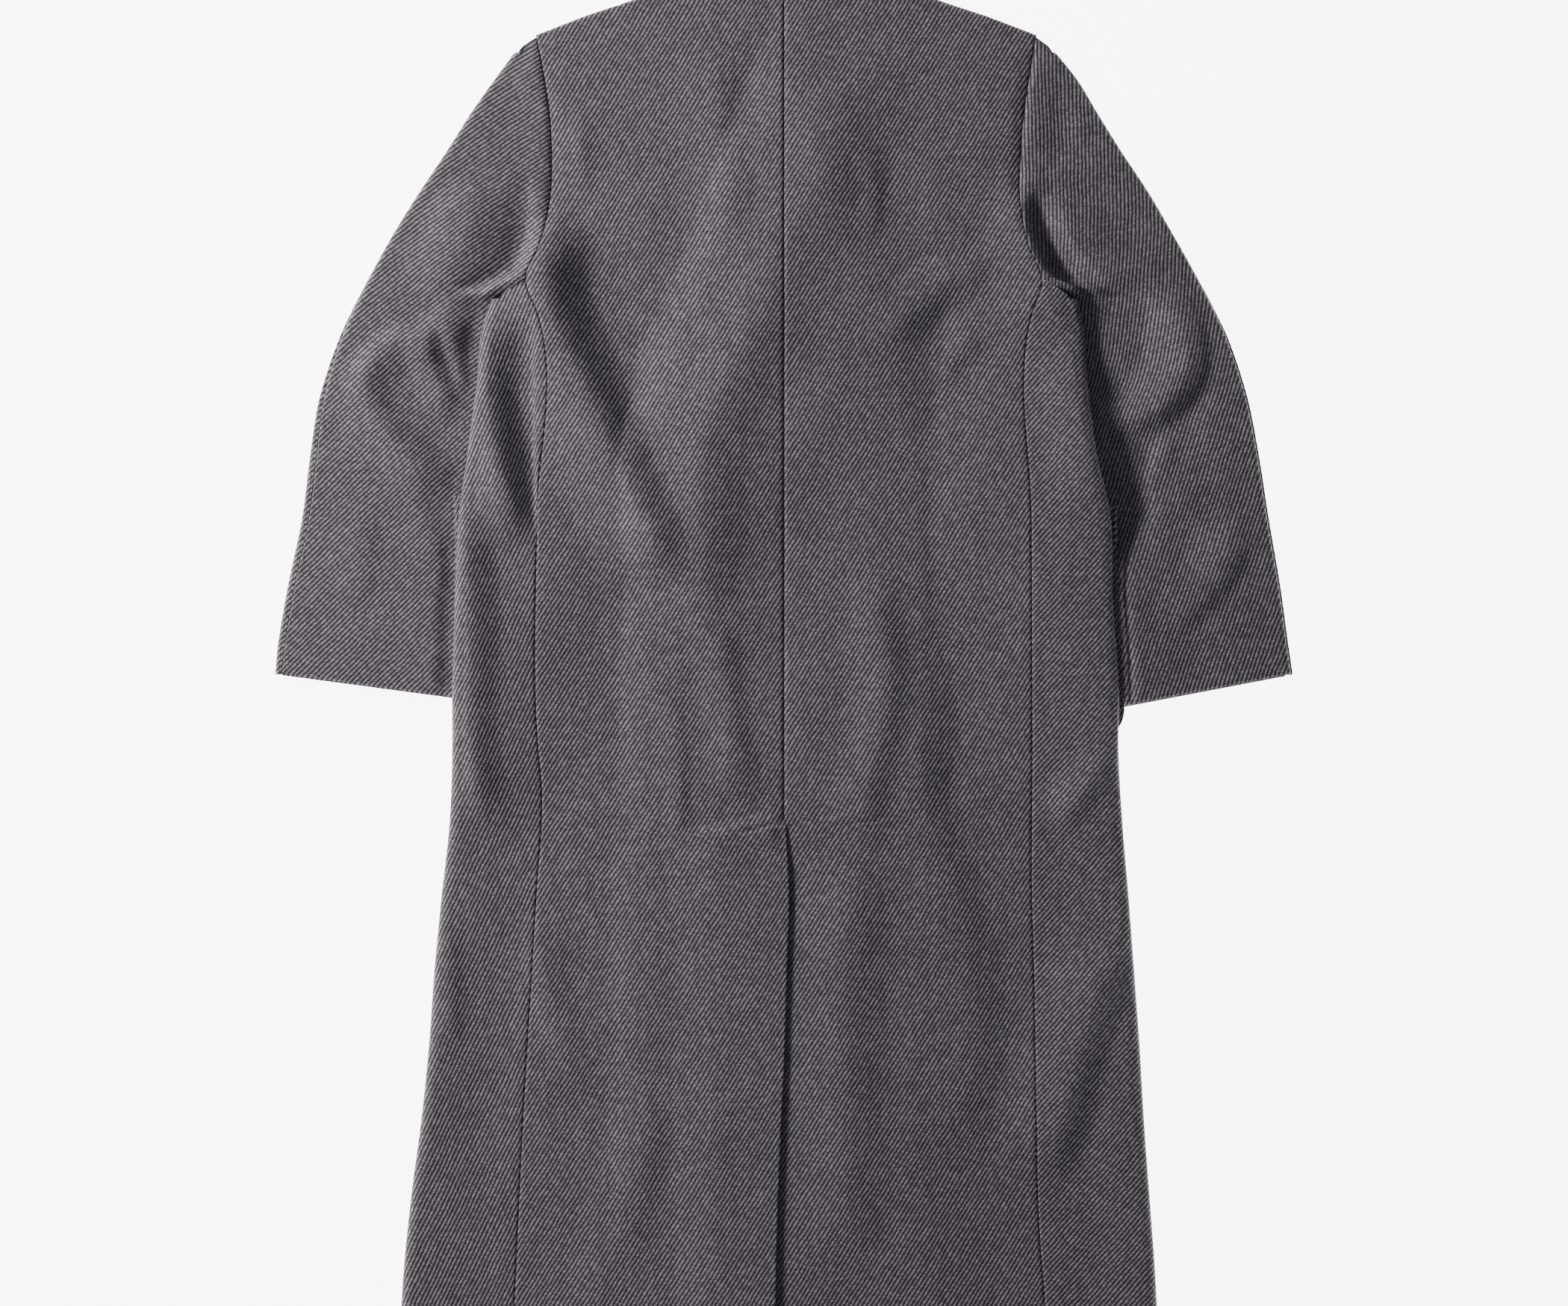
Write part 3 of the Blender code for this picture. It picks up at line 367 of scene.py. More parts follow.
def lay(name, grid, facing, sewn="", uv=None, thickness=2.2, seam_depth=1.2):
    """A closed shell of cloth from the grid of its right side, with soft rims and pressed seams.

    facing is a column and the way that its right side looks, 1 up or -1 down. sewn names the
    borders that a seam presses down: T and B for the first and last row, L and R for the columns.
    """
    rows, columns = grid.shape[:2]
    points = in_metres(grid)
    points[..., 2] = np.maximum(points[..., 2], 0)
    normal = np.cross(np.gradient(points, axis=1), np.gradient(points, axis=0))
    normal /= np.maximum(np.linalg.norm(normal, axis=2, keepdims=True), 1e-12)
    column, way = facing
    if normal[:, column, 2].mean() * way < 0:
        normal = -normal
    steps = np.linalg.norm(np.diff(grid, axis=1), axis=2)
    reach = np.concatenate([np.zeros((rows, 1)), np.cumsum(steps, axis=1)], axis=1)
    steps = np.linalg.norm(np.diff(grid, axis=0), axis=2)
    down = np.concatenate([np.zeros((1, columns)), np.cumsum(steps, axis=0)], axis=0)
    borders = {"L": reach, "R": reach[:, -1:] - reach, "T": down, "B": down[-1:] - down}
    edge = np.minimum.reduce(list(borders.values()))
    rim = np.sqrt(np.clip(1 - (1 - np.minimum(edge / RIM, 1)) ** 2, 0.1, 1))[..., None]
    press = np.zeros((rows, columns))
    for border in sewn:
        press = np.maximum(press, seam_depth * np.clip(1 - borders[border] / SEAM_REACH, 0, 1) ** 3)
    half = thickness * MM / 2
    middle = points - normal * half
    outer = middle + normal * half * rim - normal * (press * MM)[..., None]
    inner = middle - normal * half * rim
    # Neither side goes through the table
    outer[..., 2] = np.maximum(outer[..., 2], 0)
    inner[..., 2] = np.maximum(inner[..., 2], LINING_SIDE * MM)
    vertices = np.concatenate([outer.reshape(-1, 3), inner.reshape(-1, 3)])
    r, c = np.meshgrid(np.arange(rows - 1), np.arange(columns - 1), indexing="ij")
    a = (r * columns + c).ravel()
    quads = np.stack([a, a + columns, a + columns + 1, a + 1], axis=1)
    back = rows * columns
    ring = np.concatenate([np.arange(columns), np.arange(2, rows) * columns - 1,
                           rows * columns - 1 - np.arange(columns), np.arange(rows - 2, 0, -1) * columns])
    after = np.roll(ring, -1)
    sides = np.stack([ring, after, after + back, ring + back], axis=1)
    first = quads[0]
    turn = np.cross(vertices[first[1]] - vertices[first[0]], vertices[first[3]] - vertices[first[0]])
    if turn.dot(normal[0, 0]) < 0:
        quads = quads[:, ::-1]
        sides = sides[:, ::-1]
    faces = np.concatenate([quads, back + quads[:, ::-1], sides])
    piece = put_mesh("cloth_" + name, vertices.tolist(), [], faces.tolist(), mesh_name=name)
    mesh = piece.data
    if uv is None:
        uv = points[..., :2]
    flat = np.concatenate([uv.reshape(-1, 2)] * 2)
    mesh.uv_layers.new(name="cut").data.foreach_set("uv", flat[faces.ravel()].ravel().astype(np.float32))
    mesh.shade_smooth()
    mesh.materials.append(WOOL)

    # The uv points of the cut, read back from the mesh, four for each face
    uv = np.empty(len(mesh.loops) * 2)
    mesh.uv_layers["cut"].data.foreach_get("uv", uv)
    uv = uv.reshape(-1, 4, 2)
    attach(piece, "root")
    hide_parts(name)


def row_at(out, drop):
    """One row of (out, drop) points; either may be one number for the whole row."""
    return np.stack(np.broadcast_arrays(out, drop), axis=-1)


def patch_grid(side, edges, top, bottom, corner):
    """Rows of a patch with two rounded lower corners, from its outer to its inner edge."""
    rows = []
    share = shares(100.0, 2.2)
    for drop in spread(top, bottom, 4.0):
        outer, inner = edges(drop)
        rise = max(drop - (bottom - corner), 0.0)
        cut = corner - math.sqrt(max(corner ** 2 - rise ** 2, 0.0))
        rows.append(row_at(side * (outer - cut + (inner - outer + 2 * cut) * share), drop))
    return np.array(rows)


def flap_box(side):
    """Outer and inner edge, top and bottom of a flap."""
    p = POCKETS[side]
    outer, inner = p["outer_top"] + FLAP_OVER, p["outer_top"] - p["width"] - FLAP_OVER
    return outer, inner, p["top"] - FLAP_RISE, p["top"] + FLAP_DEPTH


for side, hand in HAND.items():
    outer, inner, top, bottom = flap_box(side)
    flat = patch_grid(side, lambda drop: (outer, inner), top, bottom, FLAP_CORNER)
    # The right flap's outer edge curls up where it shows beside the body
    curl = FLAP_CURL * rises(flat[..., 0], FLAP_CURL_START, 3.5)
    low = sleeve_under(side, flat[..., 0], flat[..., 1]) + curl
    lay("pocket_flap_" + hand, np.dstack([flat, low]), (0, -1), sewn="T")


# Patch pockets. Each is a patch of the same wool with rounded lower corners, topstitched to the
# front and the side panel on three sides; the flap above is sewn on over its open top.

POCKET_CORNER = 30.0


def pocket_under(side, across, drop):
    outer, inner, top, bottom = flap_box(side)
    outline = [(outer, top), (outer, bottom), (inner, bottom), (inner, top)]
    return sleeve_under(side, across, drop) + lift_over(outline, CLOTH + LAYER, side, across, drop)


for side, hand in HAND.items():
    p = POCKETS[side]

    def edges(drop):
        outer = np.interp(drop, (p["top"], p["bottom"]), (p["outer_top"], p["outer_bottom"]))
        return outer, outer - p["width"]

    flat = patch_grid(side, edges, p["top"], p["bottom"], POCKET_CORNER)
    low = pocket_under(side, flat[..., 0], flat[..., 1])
    lay("pocket_" + hand, np.dstack([flat, low]), (0, -1), sewn="B")


# Lapels. Each front's upper corner is turned back on itself as a peaked revers, made double and
# pressed flat. The left one lies on the table; the right one rests on the left front.

LAPEL = table(
    "roll_out roll_drop edge_out edge_drop",
    (63, 32, 167, 90), (38, 100, 142, 134), (10, 175, 101, 192), (-18, 250, 52, 254),
    (-46, 325, -5, 324), (-72, 395, -58, 396), (-82, 423, -78, 426),
)
LAPEL_CLOTH = 3.0
FRONT_OVERLAP = 85.0
FRONT_EDGE = table("drop out", (-21, 78), (25, 66), (430, -FRONT_OVERLAP), (1242, -FRONT_OVERLAP))
COLLAR = table(
    "centre_drop turn_out turn_drop end_out end_drop level",
    (-5, 77, -25, 64, 22, 0), (-25, 79, -36, 63, 22, 0), (-47, 82, -47, 62, 21, 0),
    (-47, 86, -47, 66, 22, 1), (-16, 104, -22, 113, 50, 1), (13, 119, 2, 149, 33, 1),
)
COLLAR_CLOTH = 2.6
COLLAR_STEP = 3.6
NECK_HALF_HEIGHT = 3.4
BUTTON_RADIUS = 14.0
BUTTON_HEIGHT = 3.8
BUTTON_OUT = 68.0
BUTTON_DROPS = (452.0, 560.0, 668.0)
BUTTON_PLACES = [(side, drop) for drop in BUTTON_DROPS for side in (-1, 1)]


def side_under(side, across, drop):
    p = POCKETS[side]
    outline = [(p["outer_top"], p["top"]), (p["outer_bottom"], p["bottom"]),
               (p["outer_bottom"] - p["width"], p["bottom"]), (p["outer_top"] - p["width"], p["top"])]
    return pocket_under(side, across, drop) + lift_over(outline, CLOTH + LAYER, side, across, drop)


def front_cover(side, across, drop):
    """1 over one front and a little beyond its free edge."""
    edge = np.interp(drop, FRONT_EDGE["drop"], FRONT_EDGE["out"])
    return cover(edge - side * across, fall=80.0)


def button_lift(across, drop):
    lift = np.zeros(np.shape(across))
    for side, middle in BUTTON_PLACES:
        from_middle = np.hypot(across - side * BUTTON_OUT, drop - middle)
        lift = np.maximum(lift, cover(from_middle - BUTTON_RADIUS))
    return lift * (BUTTON_HEIGHT + LAYER)


def collar_lift(side, across, drop):
    ends = list(zip(COLLAR["end_out"], COLLAR["end_drop"]))
    outline = [(COLLAR["turn_out"][3], COLLAR["turn_drop"][3]), ends[3], ends[4], ends[5],
               (COLLAR["turn_out"][5], COLLAR["turn_drop"][5])]
    return lift_over(outline, COLLAR_CLOTH + LAYER, side, across, drop)


def lapel_lift(side, across, drop):
    clear = SEAM + 0.1 if side < 0 else 1.5 * LAYER
    edge = list(zip(LAPEL["edge_out"], LAPEL["edge_drop"]))
    outline = list(zip(LAPEL["roll_out"], LAPEL["roll_drop"])) + edge[::-1]
    return lift_over(outline, LAPEL_CLOTH + clear, side, across, drop)


def left_front_under(across, drop):
    lift = np.maximum(lapel_lift(-1, across, drop), collar_lift(-1, across, drop))
    return np.maximum(np.maximum(lift, button_lift(across, drop)), side_under(-1, across, drop))


def on_left_front(across, drop):
    return front_cover(-1, across, drop) * (left_front_under(across, drop) + CLOTH + LAYER)


places = np.linspace(0, 6, 96)
column = {name: np.interp(places, range(7), values)[:, None] for name, values in LAPEL.items()}
share = shares(100.0, 3.0)[None, :]
out = column["roll_out"] + (column["edge_out"] - column["roll_out"]) * share
drop = column["roll_drop"] + (column["edge_drop"] - column["roll_drop"]) * share
for side, hand in HAND.items():
    low = on_left_front(side * out, drop) if side > 0 else np.zeros(out.shape)
    lay("lapel_" + hand, np.dstack([side * out, drop, low]), (0, -1), thickness=2.9)


# Collar. A stand sewn into the neck and a wide fall turned down over it, in one loft from one front
# end round the back of the neck to the other. It is made of the coat's wool, a little thicker.

def collar_points():
    """The collar's right side: one row for each place round the neck, from its seam to its edge."""
    half = COLLAR_CLOTH / 2
    centre = half + COLLAR_STEP + NECK_HALF_HEIGHT
    stations = [("front", q) for q in (1.0, 0.7, 0.4, 0.15)]
    stations += [("turn", a) for a in (-90, -55, -20, 20, 55, 90)]
    stations += [("back", s) for s in (0.8, 0.6, 0.4, 0.2)]
    rows = []
    left = [(-1, station) for station in stations]
    right = [(1, station) for station in stations[::-1]]
    for side, (zone, value) in left + [(1, ("back", 0.0))] + right:
        row = []
        for i, level in enumerate(COLLAR["level"]):
            tall = NECK_HALF_HEIGHT + COLLAR_STEP * level
            turn_out, turn_drop = COLLAR["turn_out"][i], COLLAR["turn_drop"][i]
            skin = half if level else -half
            c, s, drop = 0.0, 1.0, turn_drop
            if zone == "back":
                out = (turn_out - tall) * value
                drop = COLLAR["centre_drop"][i] + (turn_drop - COLLAR["centre_drop"][i]) * value ** 2
                height = centre + tall
            elif zone == "turn":
                c, s = math.cos(math.radians(value)), math.sin(math.radians(value))
                out, height = turn_out - tall + tall * c, centre + tall * s
            else:
                out = turn_out - tall + (COLLAR["end_out"][i] - turn_out + tall) * value
                drop = turn_drop + (COLLAR["end_drop"][i] - turn_drop) * value
                s, height = -1.0, centre - tall
            row.append((side * (out + skin * c), drop, height + skin * s))
            if i == 2:
                reach = COLLAR_STEP / 2
                fold_out = turn_out - tall + (tall + reach) * c if zone == "turn" else out + 2.0
                row.append((side * fold_out, drop - reach - half, centre + (NECK_HALF_HEIGHT + reach) * s))
        rows.append(row)
    return np.array(rows)


def finer(points, per_leg):
    """A grid with further rows, on a smooth curve through the ones it has."""
    legs = np.linalg.norm(np.diff(points, axis=0), axis=2).mean(axis=1)
    place = np.concatenate([[0], np.cumsum(legs)])
    between = [np.linspace(a, b, per_leg, endpoint=False) for a, b in zip(place, place[1:])]
    at = np.concatenate(between + [place[-1:]])
    columns = [curve_through(place, column, at) for column in points.reshape(len(points), -1).T]
    return np.stack(columns, axis=1).reshape((len(at),) + points.shape[1:])


grid = finer(collar_points(), 5)
grid = finer(grid.transpose(1, 0, 2), 6).transpose(1, 0, 2)
around, outwards = (np.concatenate([[0], np.cumsum(np.linalg.norm(np.diff(line, axis=0), axis=1))])
                    for line in (grid[:, -1], grid[len(grid) // 2]))
collar_cut = np.dstack(np.meshgrid(around, -outwards, indexing="ij")) * MM
lay("collar", grid, (-2, 1), sewn="L", uv=collar_cut, thickness=2.5)


# Buttons. Six dark horn buttons in two columns, each turned with a raised rim and four holes, and
# sewn through the fronts with doubled grey thread. They lie face down under the left front.

def streaked(name, looks, scale, dark, light, ramp_ends=(0.0, 1.0), **noise):
    """A material whose colour runs between two along a fine noise."""
    made, node, shader = new_material(name, looks)
    place = node("ShaderNodeTexCoord").outputs["Object"]
    streaks = node("ShaderNodeTexNoise", [("Vector", place), ("Scale", scale)] + list(noise.items()))
    ramp = node("ShaderNodeValToRGB", [("Fac", streaks.outputs["Fac"])])
    for end, position, colour in zip(ramp.color_ramp.elements, ramp_ends, (dark, light)):
        end.position = position
        end.color = colour
    feed(shader, [("Base Color", ramp.outputs["Color"])])
    return made


HORN = streaked("dark_horn", [("Roughness", 0.32), ("Coat Weight", 0.3)], 120.0,
                (0.012, 0.009, 0.008, 1), (0.085, 0.06, 0.045, 1), (0.35, 0.75), Detail=4.0, Distortion=1.8)
THREAD = streaked("grey_thread", [("Roughness", 0.8)], 900.0,
                  (0.02, 0.02, 0.023, 1), (0.14, 0.135, 0.145, 1))


def turned_solid(profile, centre, steps, first=0):
    """Points, no loose edges and faces of a closed solid turned about an upright axis.

    profile has its (radius, height) points from top to bottom; first is the first point's number.
    """
    points = []
    faces = []
    for radius, height in profile:
        for angle in (2 * math.pi * k / steps for k in range(steps)):
            offset = (radius * math.cos(angle), radius * math.sin(angle), height)
            points.append([c + o * MM for c, o in zip(centre, offset)])
    for r in range(len(profile) - 1):
        for k in range(steps):
            a, b = first + r * steps + k, first + r * steps + (k + 1) % steps
            faces.append((a, a + steps, b + steps, b))
    faces.append([first + k for k in range(steps)])
    faces.append([first + (len(profile) - 1) * steps + k for k in reversed(range(steps))])
    return points, [], faces


BUTTON_PROFILE = (
    (12.0, 3.8), (13.3, 3.3), (14.0, 2.5), (14.0, 1.2), (13.6, 0.5), (12.9, 0.1), (12.2, 0.0), (11.2, 0.1),
    (10.3, 0.6), (9.4, 1.3), (8.2, 1.75), (6.0, 1.9),
)
HOLE_PROFILE = ((1.1, 5), (1.1, -1))
HOLE_OFFSET = 2.2
BUTTON_STEPS = 56
HOLE_STEPS = 14

around = np.radians(np.arange(0, 360, 45))
rim_across, rim_drop = BUTTON_RADIUS * np.cos(around), BUTTON_RADIUS * np.sin(around)
for number, (side, drop) in enumerate(BUTTON_PLACES, 1):
    front = left_front_under(side * BUTTON_OUT + rim_across, drop + rim_drop)
    seat = max(front.min() - BUTTON_HEIGHT - 0.5, 0.0)
    centre = in_metres((side * BUTTON_OUT, drop, seat))
    turned = put_mesh("button_turned", *turned_solid(BUTTON_PROFILE, centre, BUTTON_STEPS))
    points = []
    faces = []
    for x, y in ((-1, -1), (-1, 1), (1, -1), (1, 1)):
        hole = centre + (x * HOLE_OFFSET * MM, y * HOLE_OFFSET * MM, 0)
        hole_points, _, hole_faces = turned_solid(HOLE_PROFILE, hole, HOLE_STEPS, len(points))
        points += hole_points
        faces += hole_faces
    drill = put_mesh("button_drill", points, [], faces)
    cut = turned.modifiers.new("holes", "BOOLEAN")
    cut.operation = "DIFFERENCE"
    cut.solver = "EXACT"
    cut.object = drill
    done = bpy.data.meshes.new_from_object(turned.evaluated_get(bpy.context.evaluated_depsgraph_get()))
    bpy.data.objects.remove(turned)
    bpy.data.objects.remove(drill)
    done.materials.clear()
    done.materials.append(HORN)
    done.shade_smooth()
    done.set_sharp_from_angle(angle=math.radians(35))
    piece = put("horn_button_%d" % number, done)
    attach(piece, "root")
    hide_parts("button_%d" % number)


# Fronts. The two double-breasted fronts lap over each other; the left one is outermost, so it lies
# lowest. Three worked buttonholes run along its free edge, and one stands in the left lapel.

def right_front_under(across, drop):
    lift = on_left_front(across, drop) + lapel_lift(1, across, drop)
    lift = np.maximum(lift, collar_lift(1, across, drop))
    return np.maximum(lift, side_under(1, across, drop))


FRONT_UNDER = {-1: left_front_under, 1: right_front_under}
BACK_EDGE = table(
    "drop left right",
    (50, 226, 230), (86, 219, 224), (120, 214, 219), (157, 212, 216), (194, 213, 215), (242, 223, 223),
    (273, 235, 235), (303, 224, 226), (494, 225, 225), (698, 224, 226), (732, 221, 226), (834, 226, 226),
    (902, 230, 228), (1038, 238, 230), (1140, 243, 233), (1207, 246, 238), (1242, 248, 239),
)
SHOULDER = table(
    "share drop",
    (0.0, 0), (0.17, -4), (0.345, -21), (0.6, 17), (0.7, 24), (0.8, 31.5), (1.0, 49),
)
UNDERARM = 273.0
HEM = 1242.0
SIDE_TURN = 68.0
SCOOP = 17.0
FREE_EDGE_DROPS = (-21, 22, 72, 122, 172, 232, UNDERARM)
ARMHOLE_DROPS = (50, 82, 120, 157, 194, 242, UNDERARM)

share = shares(300.0, 5.0)
for side, hand in HAND.items():
    rows = []
    for place in np.linspace(0, 6, 50)[:-1]:
        inner_drop = np.interp(place, range(7), FREE_EDGE_DROPS)
        outer_drop = np.interp(place, range(7), ARMHOLE_DROPS)
        inner = np.interp(inner_drop, FRONT_EDGE["drop"], FRONT_EDGE["out"]) + SEAM
        outer = read(BACK_EDGE, hand, outer_drop) - SEAM / 2
        out = inner + (outer - inner) * share
        drop = inner_drop + (outer_drop - inner_drop) * share
        along_shoulder = np.interp(out / outer, SHOULDER["share"], SHOULDER["drop"])
        rows.append(row_at(out, drop + (along_shoulder - drop) * max(1 - place, 0) ** 2))
    for level in spread(UNDERARM, HEM, 6.0):
        scoop = SCOOP * max(1 - (level - UNDERARM) / 80, 0)
        inner = np.interp(level, FRONT_EDGE["drop"], FRONT_EDGE["out"])
        outer = read(SIDE_EDGE, hand, level + scoop) - SIDE_TURN - SEAM
        rows.append(row_at(inner + (outer - inner) * share, level))
    flat = np.array(rows) * (side, 1)
    low = FRONT_UNDER[side](flat[..., 0], flat[..., 1])
    lay("front_" + hand, np.dstack([flat, low]), (-1, -1), sewn="RT")


# Back panels. Two long panels of the wool meet in the centre-back seam, which runs down to a vent.
# Below it the left panel laps over the underlap of the right one and is free along its edge.

VENT_TOP = 766.0
VENT_UNDERLAP = 48.0
VENT_FULL = 960
VENT_LIFT = (3.6, 5.2)
VENT_SLANT = 0.2
CENTRE_SEAM_DEPTH = 1.7
VENT_EDGE = table(
    "drop across",
    (766, 2), (834, 5), (902, 3), (970, 1), (1038, -2), (1106, -5), (1174, -7), (1242, -8),
)


def fold(height, wide, steep, *crest):
    """A fold's height, the width of its gentle and of its steep side, and the path of its crest.

    A pair stands for the values at the path's two ends. The steep side is on the walker's left.
    """
    return dict(height=height, wide=wide, steep=steep, crest=crest)


MAIN_FOLDS = (
    fold((16.5, 11), 62, (46, 31), (-208, 206), (-218, 270), (-206, 318), (-190, 352), (-168, 399),
         (-146, 453), (-120, 508), (-106, 560)),
    fold(4.8, 58, 62, (57, 50), (50, 140), (22, 200), (-2, 245), (-14, 300), (-42, 350), (-66, 405),
         (-74, 470), (-72, 560), (-58, 640)),
    fold(1.8, 46, 44, (-6, 250), (-42, 340), (-68, 405), (-78, 470), (-74, 580)),
    fold(4.4, 46, 30, (-57, 50), (-57, 130), (-56, 190), (-58, 250)),
    fold(9.0, (26, 40), (38, 22), (-264, 276), (-271, 340), (-269, 392), (-260, 435), (-247, 482),
         (-235, 530)),
    fold(6.0, 22, 28, (-294, 465), (-287, 540), (-284, 610), (-284, 690), (-270, 775)),
    fold(4.4, 34, 26, (202, 246), (150, 274), (116, 302), (82, 338)),
    fold(6.5, 50, 8, (214, 160), (222, 222), (233, 256), (253, 282), (284, 306)),
    fold(-4.0, 34, 4, (-230, 290), (-229, 400), (-228, 470), (-226, 532)),
    fold(5.5, 46, 12, (258, 316), (264, 360), (271, 410), (280, 455), (288, 505)),
    fold(3.4, 30, 22, (-62, 570), (-56, 620), (-46, 690), (-33, 760)),
    fold(4.0, 42, 25, (80, 530), (88, 590), (95, 640), (88, 682), (77, 730), (70, 800)),
    fold(4.2, 50, 42, (66, 780), (58, 868), (56, 1004), (58, 1180)),
    fold(4.4, 30, 20, (306, 700), (280, 728), (244, 776)),
    fold(7.4, 60, 30, (310, 862), (284, 926), (267, 980), (256, 1030), (236, 1100)),
    fold(3.0, 40, 32, (-121, 1000), (-136, 1092), (-160, 1167), (-180, 1250)),
)
FINE_CREASES = (
    fold(1.9, 26, 10, (-101, 640), (-96, 698), (-94, 800)),
    fold(2.4, 22, 16, (182, 318), (158, 338), (140, 372)),
    fold(2.2, 40, 30, (112, 670), (132, 750), (158, 850), (176, 930), (168, 1010), (140, 1070)),
    fold(2.4, 20, 30, (-226, 840), (-220, 902), (-208, 952), (-180, 1010)),
    fold(2.2, 14, 16, (-306, 851), (-304, 980)),
    fold(1.6, 18, 14, (-188, 110), (-180, 200)),
    fold(1.8, 16, 14, (75, 150), (82, 190), (76, 240)),
    fold(-1.7, 3.4, 4.6, (-62, 752), (-51, 769), (-41, 775), (-20, 771), (0, 766), (12, 763)),
)


def distances(points):
    """How far along a path each of its points lies."""
    return np.concatenate([[0], np.cumsum(np.hypot(*np.diff(points, axis=0).T))])


def smooth_path(points, count):
    points = np.array(points, float)
    place = distances(points)
    at = np.linspace(0, place[-1], count)
    return np.stack([curve_through(place, column, at) for column in points.T], axis=1)


def beside_path(path, across, drop, before=0.0):
    """For points near a path: their distance from it, their signed one, how far along it they lie,
    and the path's length.

    The signed distance is above 0 on the walker's left. before says how far the path's first leg
    runs back beyond its start, in lengths of that leg.
    """
    steps = np.diff(path, axis=0)
    lengths = np.hypot(steps[:, 0], steps[:, 1])
    nearest = np.full(across.shape, np.inf)
    aside = np.zeros(across.shape)
    along = np.zeros(across.shape)
    start = 0.0
    for (px, pd), (sx, sd), length in zip(path, steps, lengths):
        t = ((across - px) * sx + (drop - pd) * sd) / length ** 2
        t = np.clip(t, 0.0 if start else -before, 1)
        gap = np.hypot(across - px - t * sx, drop - pd - t * sd)
        nearer = gap < nearest
        nearest = np.where(nearer, gap, nearest)
        aside = np.where(nearer, ((across - px) * sd - (drop - pd) * sx) / length, aside)
        along = np.where(nearer, start + t * length, along)
        start += length
    return nearest, aside, along, lengths.sum()


FADE_SHARE = 0.3
LONGEST_FADE = 60
ROUND_SHARE = 0.7


def fold_height(folds, across, drop):
    """Height that folds add: partly round, partly straight-sided, and fading at both ends."""
    across, drop = np.broadcast_arrays(np.asarray(across, float), np.asarray(drop, float))
    total = np.zeros(across.shape)
    for one in folds:
        crest = smooth_path(one["crest"], 26)
        widest = max(np.max(one["steep"]), np.max(one["wide"]))
        low, high = crest.min(axis=0) - widest, crest.max(axis=0) + widest
        near = (across > low[0]) & (across < high[0]) & (drop > low[1]) & (drop < high[1])
        gap, aside, along, whole = beside_path(crest, across[near], drop[near])
        height, steep, wide = (np.interp(along, (0, whole), np.broadcast_to(one[key], 2))
                               for key in ("height", "steep", "wide"))
        up = np.clip(1 - gap / np.where(aside > 0, steep, wide), 0, 1)
        reach = min(FADE_SHARE * whole, LONGEST_FADE)
        fade = ease(along / reach) * ease((whole - along) / reach)
        total[near] += height * (ROUND_SHARE * ease(up) + (1 - ROUND_SHARE) * up) * fade
    return total


def own_side(rows, across, drop):
    """A table's left or right column, for the side that each point is on."""
    return np.where(across < 0, read(rows, "left", drop), read(rows, "right", drop))


EDGE_ROLL = 3.4
ROLL_LOST_ON_STRIP = 1.6
ROLL_REACH = 70
SHOULDER_OUT = 228.0
SHOULDER_SINK = 0.8
ARMHOLE_PRESS = 1.6
NECK_REACH = 140
FREE_AIR = 1.5


def back_top(across, drop):
    """The right side of the back and side panels, as they lie over all that is under them."""
    on_right_front = front_cover(1, across, drop) * (right_front_under(across, drop) + CLOTH + LAYER)
    below = np.maximum(on_left_front(across, drop), on_right_front)
    on_strip = np.maximum(sleeve_under(-1, across, drop), sleeve_under(1, across, drop))
    inwards = np.maximum(own_side(SIDE_EDGE, across, drop) - np.abs(across), 0)
    roll = EDGE_ROLL - ROLL_LOST_ON_STRIP * on_strip / (STRIP_TOP + LAYER)
    edge_roll = roll * ease(1 - inwards / ROLL_REACH) * rises(drop, 230, 60)
    shoulder = np.interp(np.abs(across) / SHOULDER_OUT, SHOULDER["share"], SHOULDER["drop"])
    beside_seam = ease(1 - (drop - shoulder) / 60) * rises(np.abs(across), 60, 40)
    folds = fold_height(MAIN_FOLDS + FINE_CREASES, across, drop) + unevenness(across, drop, 0.5, 80, 4)
    from_armhole = own_side(BACK_EDGE, across, drop) - np.abs(across)
    pressed = ARMHOLE_PRESS * ease(1 - from_armhole / 11) * rises(drop, 60, 40) * falls(drop, 245, 30)
    lying = below + FREE_AIR + CLOTH + edge_roll - SHOULDER_SINK * beside_seam + folds - pressed
    at_neck = ease(1 - np.hypot(across, drop + 10) / NECK_REACH)
    stand_middle = COLLAR_CLOTH / 2 + COLLAR_STEP + 2 * NECK_HALF_HEIGHT
    return lying + (stand_middle + CLOTH / 2 - lying) * at_neck


def vent_lift(across, drop):
    """Height of the left back over the underlap; it grows to the hem and is nothing at the seam above."""
    slant = VENT_SLANT * np.maximum(-across, 0)
    over = rises(across, -112, 56) * ease((drop - slant - VENT_TOP + 14) / 15)
    opened = 0.45 * ease((drop - VENT_TOP + 3) / 9) + 0.55 * ease((drop - VENT_TOP) / 50)
    joined = rises(across, -13, 12) * (1 - opened)
    return np.interp(drop, (VENT_FULL, HEM), VENT_LIFT) * over * (1 - joined)


